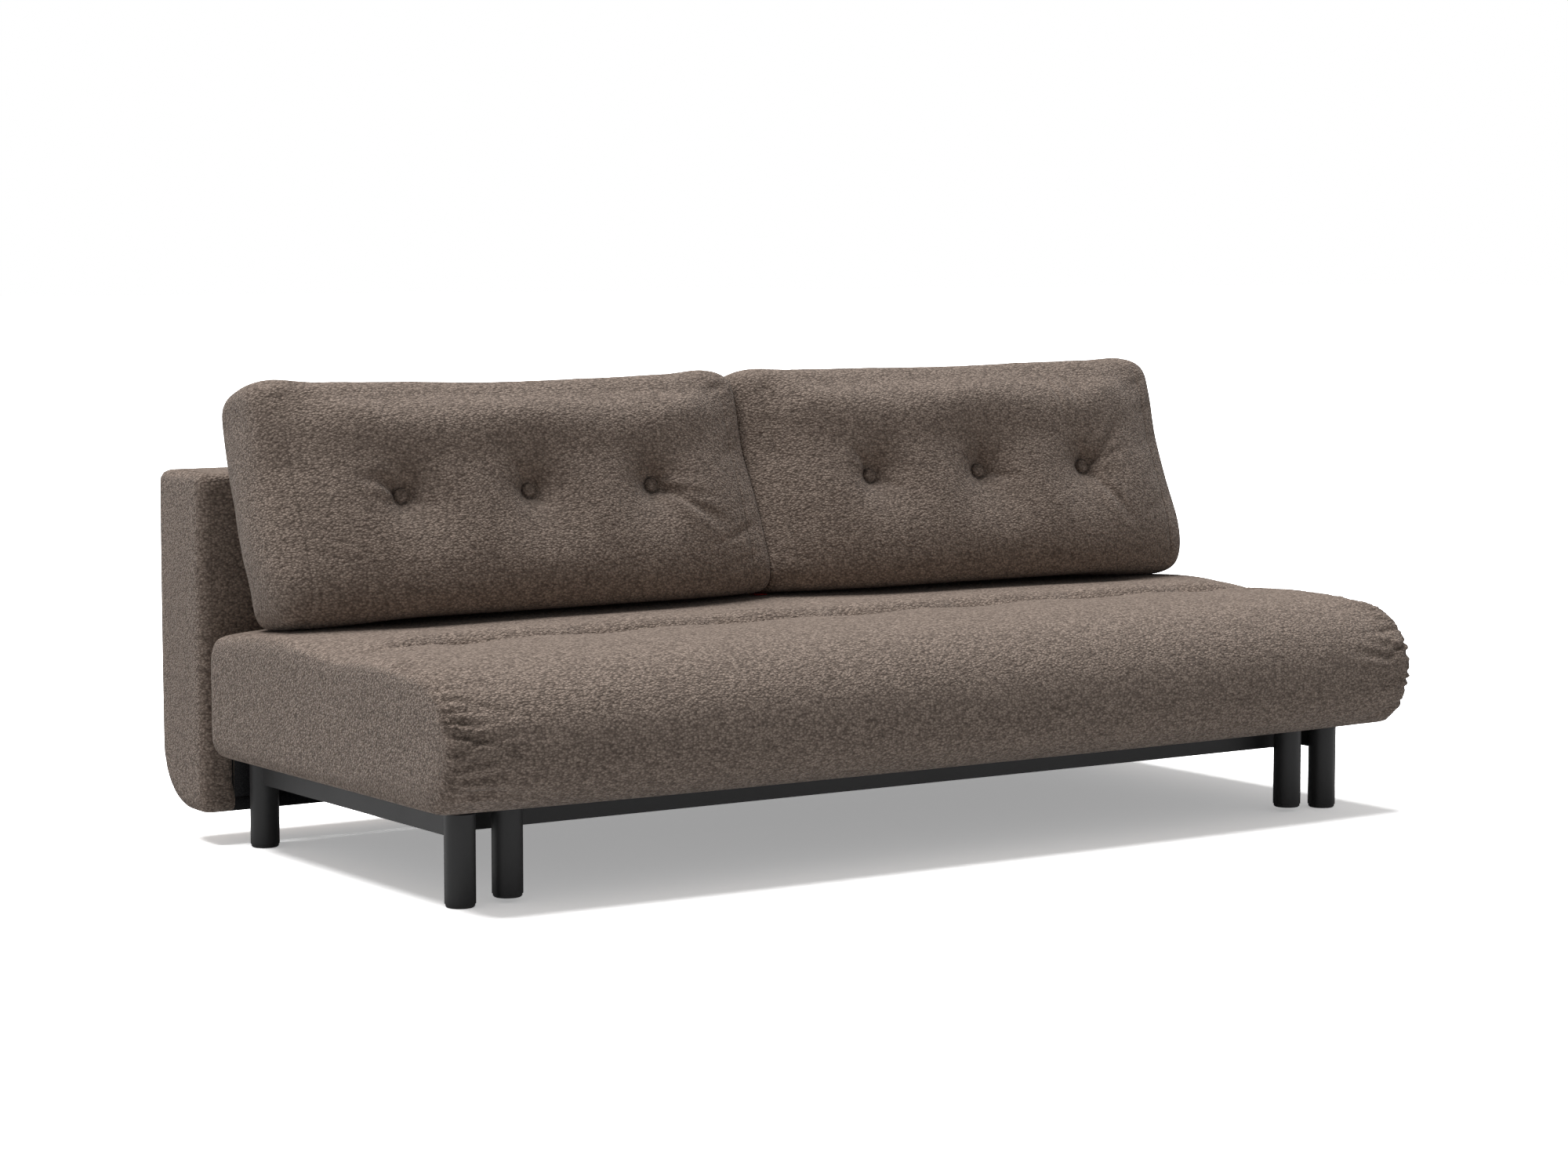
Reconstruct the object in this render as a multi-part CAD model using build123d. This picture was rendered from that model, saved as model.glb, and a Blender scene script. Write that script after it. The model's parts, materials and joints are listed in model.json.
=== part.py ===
"""Sofa bed with a sliding seat, a folding back and two loose back cushions.

Frame: millimetres, +X along the length, the front towards -Y, +Z up, origin under the
middle of the rest box on the floor. The seat is pulled forward and down a slight slope,
two links turn its travel into the fold of the back, and the rear face of the back
becomes the second half of the bed.
"""
import os
from math import asin, cos, degrees, radians, sin, tan

from build123d import *

# Overall
LENGTH = 2000.0
DEPTH = 1071.0
NOSE_OVERHANG = 165.0
BACK_OVERHANG = 215.0

# Steel underframe
LEG_DIAMETER = 50.0
TUBE_WALL = 2.0
LEG_INSET = 94.2
RAIL_WIDTH = 25.0
RAIL_HEIGHT = 38.0
RAIL_TOP = 148.5
FRONT_RAIL_SETBACK = 60.5
FOOT_HEIGHT = 6.0
FOOT_LIP = 1.5
FOOT_STEM = 18.0

# Seat
SEAT_BOTTOM = 160.0
SEAT_REAR_GAP = 9.5
SEAT_CROWN = 400.0
SEAT_END_TOP = 384.0
ROLL_TOP = 395.0
TUFT_LINE = 405.0
TUFT_DIP = 16.0
TUFT_SPACING = 260.0
TUFT_COUNT = 7
TUFT_RADIUS = 70.0
TUFT_DEPTH = 9.0
NOSE_HEIGHT = 262.0
END_NOSE_SETBACK = 22.0
SEAT_REAR_ROUND = 38.0
SEAT_END_ROUND = 20.0
BASE_HEIGHT = 40.0
BASE_MEMBER = 45.0
LEG_BOARD = 74.0
BASE_FRONT = 70.0
BASE_REAR = 32.0
BASE_CLEARANCE = 0.4
SLAT_COUNT = 12
SLAT_WIDTH = 68.0
SLAT_THICKNESS = 8.0
COVER_THICKNESS = 1.0
INNER_LEG_OFFSET = 85.3
INNER_LEG_LIFT = 8.1
LEG_PLATE = 66.0
LEG_PLATE_THICKNESS = 4.0

# Back
BACK_THICKNESS = 172.5
BACK_BOTTOM = 55.0
BACK_TOP = 645.0
BACK_HEEL_ROUND = 112.0
BACK_EDGE_ROUND = 16.0
BACK_TOE_ROUND = 22.0
BED_HEIGHT = 388.0
LINING_INSET = 58.0
LINING_BOTTOM = 84.0
LINING_TOP = 330.0
LINING_THICKNESS = 2.0
FRAME_DEPTH = 44.0
FRAME_MEMBER = 48.0
BACK_POSTS = 4

# Hinges and links
HINGE_SETOUT = 8.0
BED_GAP = 4.0
PIN_DIAMETER = 8.0
PIN_CLEARANCE = 0.05
PIN_HEAD = 10.0
PIN_HEAD_THICKNESS = 2.5
PLATE = 5.0
PLATE_GAP = 1.0
EYE_RADIUS = 7.0
LINK_WIDTH = 11.0
HINGE_INSET = 154.0
LINK_INSET = 214.0
LEAF_THICKNESS = 2.5
LEAF_WIDTH = 28.0
LEAF_HEIGHT = 60.0
REST_PAD_HEIGHT = 8.2

# Glides
GLIDE_WIDTH = 9.0
GLIDE_SPLIT = 2.0
GLIDE_LENGTH = 40.0
FRONT_GLIDE = 20.0
REAR_GLIDE = 101.0
GLIDE_HEIGHT = 0.9
STRIP_TOE = 0.3
GLIDE_CLEARANCE = 0.4
RUNNER_LAP = 8.0

# Back cushions
CUSHION_INSET = 29.0
CUSHION_GAP = 6.0
CUSHION_HEIGHT = 386.0
CUSHION_EDGE = 130.0
CUSHION_CROWN = 70.0
CUSHION_BELLY = 70.0
CUSHION_DROP = 40.0
CUSHION_TOP_CROWN = 3.0
CUSHION_BACK_CROWN = 24.0
CUSHION_LEAN = 16.0
CUSHION_STANDOFF = 106.0
CUSHION_SINK = 2.0
CUSHION_CLEARANCE = 0.3
CUSHION_CORNER = 40.0
BUTTON_SPACING = 250.0
BUTTON_HEIGHT = 174.0
BUTTON_DIAMETER = 24.0
BUTTON_THICKNESS = 9.0
DIMPLE_RADIUS = 110.0
DIMPLE_DEPTH = 46.0
DIMPLE_FLARE = 42.0

# Pull strap
STRAP_WIDTH = 24.0
STRAP_THICKNESS = 1.8
STRAP_REACH = 215.0
STRAP_DROP = 90.0
STRAP_WINDOW = 30.0
STRAP_CLEARANCE = 0.3

# Worked out
HALF = LENGTH / 2
FRONT_Y = -DEPTH / 2
BACK_REAR = DEPTH / 2
FRONT_LEG_Y = FRONT_Y + NOSE_OVERHANG
REAR_LEG_Y = BACK_REAR - BACK_OVERHANG
LEG_SPACING_Y = REAR_LEG_Y - FRONT_LEG_Y
BACK_FACE = BACK_REAR - BACK_THICKNESS
PIVOT_Y = BACK_FACE - HINGE_SETOUT
PIVOT_Z = BED_HEIGHT - BACK_THICKNESS - HINGE_SETOUT
SEAT_REAR = PIVOT_Y - SEAT_REAR_GAP
TRAVEL = BACK_TOP - PIVOT_Z - SEAT_REAR_GAP + BED_GAP
LINK_LENGTH = TRAVEL / 2
SLOPE = asin(INNER_LEG_LIFT / TRAVEL)
CRANK_Y = PIVOT_Y - LINK_LENGTH * sin(SLOPE)
CRANK_Z = PIVOT_Z + LINK_LENGTH * cos(SLOPE)
LEG_RADIUS = LEG_DIAMETER / 2
RAIL_X = HALF - LEG_INSET
LEG_SPACING_X = 2 * RAIL_X
HINGE_X = HALF - HINGE_INSET
LINK_X = HALF - LINK_INSET
LINING_HALF = HALF - LINING_INSET
CUSHION_WIDTH = HALF - CUSHION_INSET - CUSHION_GAP / 2
RAIL_BOTTOM = RAIL_TOP - RAIL_HEIGHT
INNER_LEG_X = RAIL_X - INNER_LEG_OFFSET
COVER_BOTTOM = SEAT_BOTTOM - COVER_THICKNESS
PLATE_BOTTOM = COVER_BOTTOM - LEG_PLATE_THICKNESS
POCKET_HALF = RAIL_X + BASE_MEMBER / 2 + BASE_CLEARANCE
POCKET_FRONT = FRONT_LEG_Y - BASE_FRONT
POCKET_REAR = SEAT_REAR - BASE_REAR
POCKET_TOP = SEAT_BOTTOM + BASE_HEIGHT + SLAT_THICKNESS + BASE_CLEARANCE
SIDES = (("left", -1), ("right", 1))
PARTS = {}


def box(x0, x1, y0, y1, z0, z1):
    """A box between two corners."""
    size = (x1 - x0, y1 - y0, z1 - z0)
    middle = ((x0 + x1) / 2, (y0 + y1) / 2, (z0 + z1) / 2)
    return Pos(*middle) * Box(*size)


def side_plane(x):
    """A sketch plane across the length: sketch x is world Y, sketch y is world Z."""
    return Plane(origin=(x, 0, 0), x_dir=(0, 1, 0), z_dir=(1, 0, 0))


def slab(x0, x1, sketch):
    """A side view sketch given a thickness along the length."""
    return extrude(side_plane(x0) * sketch, x1 - x0)


def rod(x0, x1, y, z, radius):
    """A round bar along the length."""
    return slab(x0, x1, Pos(y, z) * Circle(radius))


def mirror_side(shape, sign):
    """The right-hand shape, or its mirror image for the left."""
    return shape if sign > 0 else mirror(shape, Plane.YZ)


def rect_tube(length, width, height):
    """A rectangular tube along X, centred."""
    outer = Box(length, width, height)
    inner = Box(length + 2, width - 2 * TUBE_WALL, height - 2 * TUBE_WALL)
    return outer - inner


def leg_tube(x, y, bottom, top):
    """A round leg, open below for its foot and closed above by a cap."""
    height = top - bottom
    tube = Cylinder(LEG_RADIUS, height) - Pos(0, 0, -TUBE_WALL) * Cylinder(LEG_RADIUS - TUBE_WALL, height)
    return Pos(x, y, bottom + height / 2) * tube


def foot(x, y, floor):
    """A nylon foot with a stem up inside the leg."""
    pad = Cylinder(LEG_RADIUS - FOOT_LIP, FOOT_HEIGHT)
    pad = chamfer(pad.edges().group_by(Axis.Z)[0], FOOT_HEIGHT / 3)
    stem = Pos(0, 0, (FOOT_HEIGHT + FOOT_STEM) / 2) * Cylinder(LEG_RADIUS - TUBE_WALL - 0.2, FOOT_STEM)
    return Pos(x, y, floor + FOOT_HEIGHT / 2) * (pad + stem)


def pin(x0, x1, y, z):
    """A hinge pin with a head at each end."""
    body = rod(x0, x1, y, z, PIN_DIAMETER / 2)
    heads = [rod(x0, x0 + PIN_HEAD_THICKNESS, y, z, PIN_HEAD / 2)]
    heads.append(rod(x1 - PIN_HEAD_THICKNESS, x1, y, z, PIN_HEAD / 2))
    return body + heads[0] + heads[1]


def pin_hole(y, z, running):
    """The hole for a pin: a running fit, or a close fit where the pin is held."""
    return Pos(y, z) * Circle(PIN_DIAMETER / 2 + (PIN_CLEARANCE if running else 0.0))


# Steel underframe
def underframe():
    """Four legs, two side rails, the front and rear rails and the feet."""
    feet = []
    corners = {"front": FRONT_LEG_Y, "rear": REAR_LEG_Y}
    for side, sign in SIDES:
        for place, y in corners.items():
            PARTS[f"leg_{place}_{side}"] = leg_tube(sign * RAIL_X, y, FOOT_HEIGHT, RAIL_TOP)
            feet.append(foot(sign * RAIL_X, y, 0.0))
        rail = Rot(0, 0, 90) * rect_tube(LEG_SPACING_Y, RAIL_WIDTH, RAIL_HEIGHT)
        rail = Pos(sign * RAIL_X, (FRONT_LEG_Y + REAR_LEG_Y) / 2, RAIL_TOP - RAIL_HEIGHT / 2) * rail
        for y in corners.values():
            rail -= Pos(sign * RAIL_X, y, RAIL_TOP) * Cylinder(LEG_RADIUS, 4 * RAIL_HEIGHT)
        PARTS[f"side_rail_{side}"] = rail
    PARTS["frame_feet"] = Compound(children=feet)

    front = rect_tube(LEG_SPACING_X - RAIL_WIDTH, RAIL_WIDTH, RAIL_HEIGHT)
    PARTS["front_rail"] = Pos(0, FRONT_LEG_Y + FRONT_RAIL_SETBACK, RAIL_TOP - RAIL_HEIGHT / 2) * front
    rear = Pos(0, REAR_LEG_Y, RAIL_TOP - RAIL_HEIGHT / 2) * rect_tube(LEG_SPACING_X, RAIL_WIDTH, RAIL_HEIGHT)
    for _, sign in SIDES:
        rear -= Pos(sign * RAIL_X, REAR_LEG_Y, RAIL_TOP) * Cylinder(LEG_RADIUS, 4 * RAIL_HEIGHT)
    PARTS["rear_rail"] = rear


def wedge(x0, x1, start, end, level, low_start, low_end):
    """A strip between a level face and a sloping one, seen from the side."""
    outline = Polyline((start, level), (start, low_start), (end, low_end), (end, level), close=True)
    return slab(x0, x1, make_face(outline))


def glides():
    """Two sloping slides on each rail: a runner on a front pad, and a rear pad on a long strip."""
    on_rail, on_seat = [], []
    rise = tan(SLOPE)
    pad_start = FRONT_LEG_Y + FRONT_GLIDE
    pad_top = RAIL_TOP + GLIDE_HEIGHT
    runner_length = TRAVEL + RUNNER_LAP
    run_end = pad_start + runner_length
    runner_low = pad_top + GLIDE_CLEARANCE
    runner_high = runner_low + runner_length * rise
    strip_end = REAR_LEG_Y - REAR_GLIDE + GLIDE_LENGTH
    strip_start = strip_end - GLIDE_LENGTH - TRAVEL
    strip_low = RAIL_TOP + STRIP_TOE
    strip_high = strip_low + (strip_end - strip_start) * rise
    shoe_start = strip_end - GLIDE_LENGTH
    shoe_high = strip_high + GLIDE_CLEARANCE
    shoe_low = shoe_high - GLIDE_LENGTH * rise
    for _, sign in SIDES:
        inner = sorted(sign * (RAIL_X - GLIDE_SPLIT - share * GLIDE_WIDTH) for share in (0, 1))
        outer = sorted(sign * (RAIL_X + GLIDE_SPLIT + share * GLIDE_WIDTH) for share in (0, 1))
        on_rail.append(box(*inner, pad_start, pad_start + GLIDE_LENGTH, RAIL_TOP, pad_top))
        on_rail.append(wedge(*outer, strip_start, strip_end, RAIL_TOP, strip_low, strip_high))
        on_seat.append(wedge(*inner, pad_start, run_end, COVER_BOTTOM, runner_low, runner_high))
        on_seat.append(wedge(*outer, shoe_start, strip_end, COVER_BOTTOM, shoe_low, shoe_high))
    PARTS["rail_glides"] = Compound(children=on_rail)
    PARTS["seat_runners"] = Compound(children=on_seat)


def hinges():
    """Back hinges on the rear rail, and the two links between the back and the seat."""
    rail_rear = REAR_LEG_Y + RAIL_WIDTH / 2
    post = Pos(PIVOT_Y, (RAIL_BOTTOM + PIVOT_Z) / 2) * Rectangle(2 * EYE_RADIUS, PIVOT_Z - RAIL_BOTTOM - 4)
    stop_depth = BACK_FACE - CUSHION_CLEARANCE - rail_rear
    stop = Pos(rail_rear + stop_depth / 2, RAIL_TOP - RAIL_HEIGHT / 2)
    stop *= Rectangle(stop_depth, RAIL_HEIGHT - 4)
    arm = post + stop + Pos(PIVOT_Y, PIVOT_Z) * Circle(EYE_RADIUS) - pin_hole(PIVOT_Y, PIVOT_Z, False)

    foot_top = COVER_BOTTOM
    foot_low = RAIL_TOP + 4.0
    upright_height = PIVOT_Z - foot_low
    upright = Pos(PIVOT_Y, foot_low + upright_height / 2) * Rectangle(2 * EYE_RADIUS, upright_height)
    toe_length = PIVOT_Y + EYE_RADIUS - POCKET_REAR + LEG_BOARD
    toe = Pos(PIVOT_Y + EYE_RADIUS - toe_length / 2, (foot_top + foot_low) / 2)
    toe *= Rectangle(toe_length, foot_top - foot_low)
    seat_arm = upright + toe + Pos(PIVOT_Y, PIVOT_Z) * Circle(EYE_RADIUS) - pin_hole(PIVOT_Y, PIVOT_Z, False)
    seat_arm += Pos(PIVOT_Y, PIVOT_Z + EYE_RADIUS / 2) * Rectangle(2 * EYE_RADIUS, EYE_RADIUS)
    seat_arm -= pin_hole(PIVOT_Y, PIVOT_Z, False)

    along = Pos((PIVOT_Y + CRANK_Y) / 2, (PIVOT_Z + CRANK_Z) / 2) * Rot(0, 0, degrees(SLOPE))
    bar = along * Rectangle(LINK_WIDTH, LINK_LENGTH)
    for y, z in ((PIVOT_Y, PIVOT_Z), (CRANK_Y, CRANK_Z)):
        bar += Pos(y, z) * Circle(EYE_RADIUS)
    for y, z in ((PIVOT_Y, PIVOT_Z), (CRANK_Y, CRANK_Z)):
        bar -= pin_hole(y, z, True)

    def leaf(x0, y, z, running):
        """An angle bracket on the front of the back, with its ear at a pivot."""
        ear_depth = BACK_FACE - y
        ear = Pos(y + ear_depth / 2, z) * Rectangle(ear_depth, 2 * EYE_RADIUS)
        ear = ear + Pos(y, z) * Circle(EYE_RADIUS) - pin_hole(y, z, running)
        low, high = z - LEAF_HEIGHT / 2, z + LEAF_HEIGHT / 2
        base = box(x0, x0 + PLATE + LEAF_WIDTH, BACK_FACE - LEAF_THICKNESS, BACK_FACE, low, high)
        return slab(x0, x0 + PLATE, ear) + base

    step = PLATE + PLATE_GAP
    head = PIN_HEAD_THICKNESS
    for side, sign in SIDES:
        right = {
            "hinge_arm": slab(HINGE_X, HINGE_X + PLATE, arm),
            "hinge_leaf": leaf(HINGE_X + step, PIVOT_Y, PIVOT_Z, True),
            "hinge_pin": pin(HINGE_X - head, HINGE_X + step + PLATE + 0.5 + head, PIVOT_Y, PIVOT_Z),
            "fold_link": slab(LINK_X, LINK_X + PLATE, bar),
            "link_bracket": leaf(LINK_X + step, CRANK_Y, CRANK_Z, False),
            "link_pin_upper": pin(LINK_X - 0.5 - head, LINK_X + step + PLATE + head, CRANK_Y, CRANK_Z),
            "link_arm": slab(LINK_X + step, LINK_X + step + PLATE, seat_arm),
            "link_pin_lower": pin(LINK_X - 0.5 - head, LINK_X + step + PLATE + head, PIVOT_Y, PIVOT_Z),
        }
        pad_low = PIVOT_Z + EYE_RADIUS
        right["bed_rest_pad"] = box(
            LINK_X + step,
            LINK_X + step + PLATE,
            PIVOT_Y - EYE_RADIUS,
            PIVOT_Y + EYE_RADIUS,
            pad_low,
            pad_low + REST_PAD_HEIGHT,
        )
        for name, shape in right.items():
            PARTS[f"{name}_{side}"] = mirror_side(shape, sign)


# Seat
def seat_section(inset, end_share):
    """The seat's side view: flat bottom, round nose, two crowned pads and the tuft line.

    end_share goes from 0 at mid-length to 1 at the ends, where the nose is set back and
    the rear of the top falls away. inset draws the whole outline in.
    """
    bottom = SEAT_BOTTOM + inset
    rear = SEAT_REAR - inset
    nose = FRONT_Y + END_NOSE_SETBACK * end_share + inset
    tuft_y = FRONT_Y + TUFT_LINE
    crown = SEAT_CROWN + (SEAT_END_TOP - SEAT_CROWN) * end_share - inset
    roll = ROLL_TOP - 10.0 * end_share - inset
    dip = min(crown, roll) - TUFT_DIP * (1.0 - 0.6 * end_share)
    rear_top = crown - 8.0 - 16.0 * end_share
    roll_y = nose + 0.58 * (tuft_y - nose)
    shoulder = (nose + 0.11 * (tuft_y - nose), NOSE_HEIGHT + 0.72 * (roll - NOSE_HEIGHT))
    chin = (nose + 14.0, bottom + 0.4 * (NOSE_HEIGHT - bottom))
    heel = (nose + 62.0, bottom)
    brow = (nose + 0.29 * (tuft_y - nose), roll - 7.0)
    edges = [
        Line(heel, (rear, bottom)),
        Line((rear, bottom), (rear, rear_top)),
        ThreePointArc((rear, rear_top), ((rear + tuft_y) / 2, crown), (tuft_y, dip)),
        ThreePointArc((tuft_y, dip), (roll_y, roll), brow),
        ThreePointArc(brow, shoulder, (nose, NOSE_HEIGHT)),
        ThreePointArc((nose, NOSE_HEIGHT), chin, heel),
    ]
    face = make_face(edges)
    back = face.vertices().filter_by(lambda v: abs(v.X - rear) < 0.01)
    return fillet(back, SEAT_REAR_ROUND - inset)


def seat():
    """The seat cushion, its timber base with slats, its cover below and its own legs."""
    edge = HALF - SEAT_END_ROUND
    stations = [(-edge, 1.0), (-0.6 * edge, 0.16), (0.0, 0.0), (0.6 * edge, 0.16), (edge, 1.0)]
    solid = loft([side_plane(x) * seat_section(0.0, share) for x, share in stations])
    for sign in (-1, 1):
        rim = [
            side_plane(sign * (HALF - SEAT_END_ROUND * (1 - sin(radians(turn)))))
            * seat_section(SEAT_END_ROUND * (1 - cos(radians(turn))), 1.0)
            for turn in (0, 30, 60, 90)
        ]
        solid += loft(rim, ruled=True)
    tuft_y = FRONT_Y + TUFT_LINE
    surface = min(SEAT_CROWN, ROLL_TOP) - TUFT_DIP
    for index in range(TUFT_COUNT):
        x = (index - (TUFT_COUNT - 1) / 2) * TUFT_SPACING
        solid -= Pos(x, tuft_y, surface + TUFT_RADIUS - TUFT_DEPTH) * Sphere(TUFT_RADIUS)
    solid -= box(-POCKET_HALF, POCKET_HALF, POCKET_FRONT, POCKET_REAR, SEAT_BOTTOM - 1, POCKET_TOP)
    PARTS["seat_cushion"] = solid

    half = POCKET_HALF - BASE_CLEARANCE
    front = POCKET_FRONT + BASE_CLEARANCE
    rear = POCKET_REAR - BASE_CLEARANCE
    top = SEAT_BOTTOM + BASE_HEIGHT
    board_rear = FRONT_LEG_Y + LEG_BOARD / 2
    board_front = rear - LEG_BOARD
    PARTS["seat_base_boards"] = Compound(
        children=[
            box(-half, half, front, board_rear, SEAT_BOTTOM, top),
            box(-half, half, board_front, rear, SEAT_BOTTOM, top),
        ]
    )
    bearers = [
        box(x - BASE_MEMBER / 2, x + BASE_MEMBER / 2, board_rear, board_front, SEAT_BOTTOM, top)
        for x in (-RAIL_X, 0.0, RAIL_X)
    ]
    PARTS["seat_base_bearers"] = Compound(children=bearers)
    pitch = (2 * half - SLAT_WIDTH) / (SLAT_COUNT - 1)
    slats = [
        box(-half + i * pitch, -half + i * pitch + SLAT_WIDTH, front, rear, top, top + SLAT_THICKNESS)
        for i in range(SLAT_COUNT)
    ]
    PARTS["seat_slats"] = Compound(children=slats)
    PARTS["seat_under_cover"] = box(-half, half, front, rear, COVER_BOTTOM, SEAT_BOTTOM)

    feet = []
    for side, sign in SIDES:
        x = sign * INNER_LEG_X
        PARTS[f"inner_leg_{side}"] = leg_tube(x, FRONT_LEG_Y, INNER_LEG_LIFT + FOOT_HEIGHT, PLATE_BOTTOM)
        plate = Pos(x, FRONT_LEG_Y, PLATE_BOTTOM + LEG_PLATE_THICKNESS / 2)
        PARTS[f"leg_plate_{side}"] = plate * Box(LEG_PLATE, LEG_PLATE, LEG_PLATE_THICKNESS)
        feet.append(foot(x, FRONT_LEG_Y, INNER_LEG_LIFT))
    PARTS["inner_feet"] = Compound(children=feet)


def strap():
    """The webbing pull, from the rear of the seat over its edge and forward on top."""
    section = seat_section(0.0, 0.0)
    near = offset(section, STRAP_CLEARANCE)
    far = offset(section, STRAP_CLEARANCE + STRAP_THICKNESS)
    reach = STRAP_REACH + STRAP_WINDOW
    height = STRAP_DROP + STRAP_WINDOW
    window = Pos(SEAT_REAR + STRAP_WINDOW - reach / 2, SEAT_CROWN + STRAP_WINDOW - height / 2)
    window *= Rectangle(reach, height)
    PARTS["pull_strap"] = slab(-STRAP_WIDTH / 2, STRAP_WIDTH / 2, (far - near) & window)


def strap_room():
    """The room the cushions leave for the strap: the seat's section grown past the strap."""
    grown = STRAP_CLEARANCE + STRAP_THICKNESS + CUSHION_CLEARANCE
    edge = STRAP_WIDTH / 2 + CUSHION_CLEARANCE
    return slab(-edge, edge, offset(seat_section(0.0, 0.0), grown))


# Back
def back():
    """The upholstered back with its timber frame behind a black lining."""
    outline = Pos((BACK_FACE + BACK_REAR) / 2, (BACK_BOTTOM + BACK_TOP) / 2)
    outline *= Rectangle(BACK_THICKNESS, BACK_TOP - BACK_BOTTOM)
    low = outline.vertices().group_by(Axis.Y)[0].sort_by(Axis.X)
    outline = fillet([low[-1]], BACK_HEEL_ROUND)
    low = outline.vertices().group_by(Axis.Y)[0].sort_by(Axis.X)
    outline = fillet([low[0]], BACK_TOE_ROUND)
    solid = slab(-HALF, HALF, outline)
    top_edges = solid.edges().filter_by(Axis.X).group_by(Axis.Z)[-1]
    solid = fillet(top_edges, BACK_EDGE_ROUND)
    ends = solid.faces().sort_by(Axis.X)
    rims = ends[0].edges() + ends[-1].edges()
    solid = fillet(rims, BACK_EDGE_ROUND)
    lined = BACK_FACE + LINING_THICKNESS
    deep = lined + FRAME_DEPTH
    pocket = box(-LINING_HALF, LINING_HALF, BACK_FACE - 1, deep, LINING_BOTTOM, LINING_TOP)
    PARTS["back_upholstery"] = solid - pocket
    PARTS["back_lining"] = box(-LINING_HALF, LINING_HALF, BACK_FACE, lined, LINING_BOTTOM, LINING_TOP)
    low, high = LINING_BOTTOM + FRAME_MEMBER, LINING_TOP - FRAME_MEMBER
    PARTS["back_frame_rails"] = Compound(
        children=[
            box(-LINING_HALF, LINING_HALF, lined, deep, LINING_BOTTOM, low),
            box(-LINING_HALF, LINING_HALF, lined, deep, high, LINING_TOP),
        ]
    )
    pitch = (2 * LINING_HALF - FRAME_MEMBER) / (BACK_POSTS - 1)
    starts = [-LINING_HALF + index * pitch for index in range(BACK_POSTS)]
    posts = [box(x, x + FRAME_MEMBER, lined, deep, low, high) for x in starts]
    PARTS["back_frame_posts"] = Compound(children=posts)


# Loose cushions
def cushion_section(draw_in, swell):
    """One side view of a cushion: four bowed sides, fuller low down at the front.

    Sketch x is the depth from the rear seam, forwards negative; sketch y is the height.
    draw_in pulls the outline in towards the ends; swell is the share of the full crown.
    """
    front = -CUSHION_EDGE + 0.3 * draw_in
    rear = -0.3 * draw_in
    low = -0.3 * CUSHION_DROP
    high = CUSHION_HEIGHT - draw_in
    belly = (front - CUSHION_BELLY * swell, -CUSHION_DROP * (0.5 + 0.5 * swell))
    edges = [
        ThreePointArc(belly, (front - CUSHION_CROWN * swell - 3.0, 0.4 * high), (front, high)),
        ThreePointArc((front, high), ((front + rear) / 2, high + CUSHION_TOP_CROWN), (rear, high)),
        ThreePointArc((rear, high), (rear + CUSHION_BACK_CROWN * swell + 2.0, (low + high) / 2), (rear, low)),
        Line((rear, low), belly),
    ]
    face = make_face(edges)
    return fillet(face.vertices(), CUSHION_CORNER - 0.2 * draw_in)


def dimple_cut():
    """The flared hollow that a button pulls into a cushion, to be cut from its front."""
    floor = BUTTON_DIAMETER / 2 + 1.0
    flare = (floor + DIMPLE_FLARE, -0.26 * DIMPLE_DEPTH)
    outline = [
        Polyline((DIMPLE_RADIUS, 0), (DIMPLE_RADIUS, DIMPLE_DEPTH), (0, DIMPLE_DEPTH), (0, -DIMPLE_DEPTH)),
        Line((0, -DIMPLE_DEPTH), (floor, -DIMPLE_DEPTH)),
        ThreePointArc((floor, -DIMPLE_DEPTH), flare, (DIMPLE_RADIUS, 0)),
    ]
    return Rot(90, 0, 0) * revolve(Plane.XZ * make_face(outline), Axis.Z)


def cushions():
    """Two back cushions, pressed to the seat's shape below and drawn in at each button."""
    lean = Pos(0, SEAT_REAR - CUSHION_STANDOFF, SEAT_CROWN - CUSHION_SINK) * Rot(-CUSHION_LEAN, 0, 0)
    reach = CUSHION_WIDTH / 2
    stations = [
        (-reach, 20.0, 0.3),
        (-reach + 20.0, 5.0, 0.4),
        (-reach + 75.0, 0.0, 0.6),
        (-reach + 210.0, 0.0, 0.93),
        (0.0, 0.0, 1.0),
    ]
    stations += [(-x, draw, swell) for x, draw, swell in reversed(stations[:-1])]
    blank = loft([side_plane(x) * cushion_section(draw, swell) for x, draw, swell in stations])
    front = CUSHION_EDGE + CUSHION_CROWN + 3.0
    buttons = []
    dimple = dimple_cut()
    for index in (-1, 0, 1):
        blank -= Pos(index * BUTTON_SPACING, -front, BUTTON_HEIGHT) * dimple
        knob = Cylinder(BUTTON_DIAMETER / 2, BUTTON_THICKNESS)
        knob = fillet(knob.edges().group_by(Axis.Z)[-1], BUTTON_THICKNESS * 0.45)
        seat_y = -front + DIMPLE_DEPTH - BUTTON_THICKNESS / 2 - 0.9
        buttons.append(Pos(index * BUTTON_SPACING, seat_y, BUTTON_HEIGHT) * Rot(90, 0, 0) * knob)
    bearer = Pos(0, 0, CUSHION_CLEARANCE) * PARTS["seat_cushion"]
    band = strap_room()
    for side, sign in SIDES:
        place = Pos(sign * (CUSHION_WIDTH + CUSHION_GAP) / 2, 0, 0) * lean
        PARTS[f"back_cushion_{side}"] = place * blank - bearer - band
        PARTS[f"cushion_buttons_{side}"] = Compound(children=[place * knob for knob in buttons])


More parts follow.
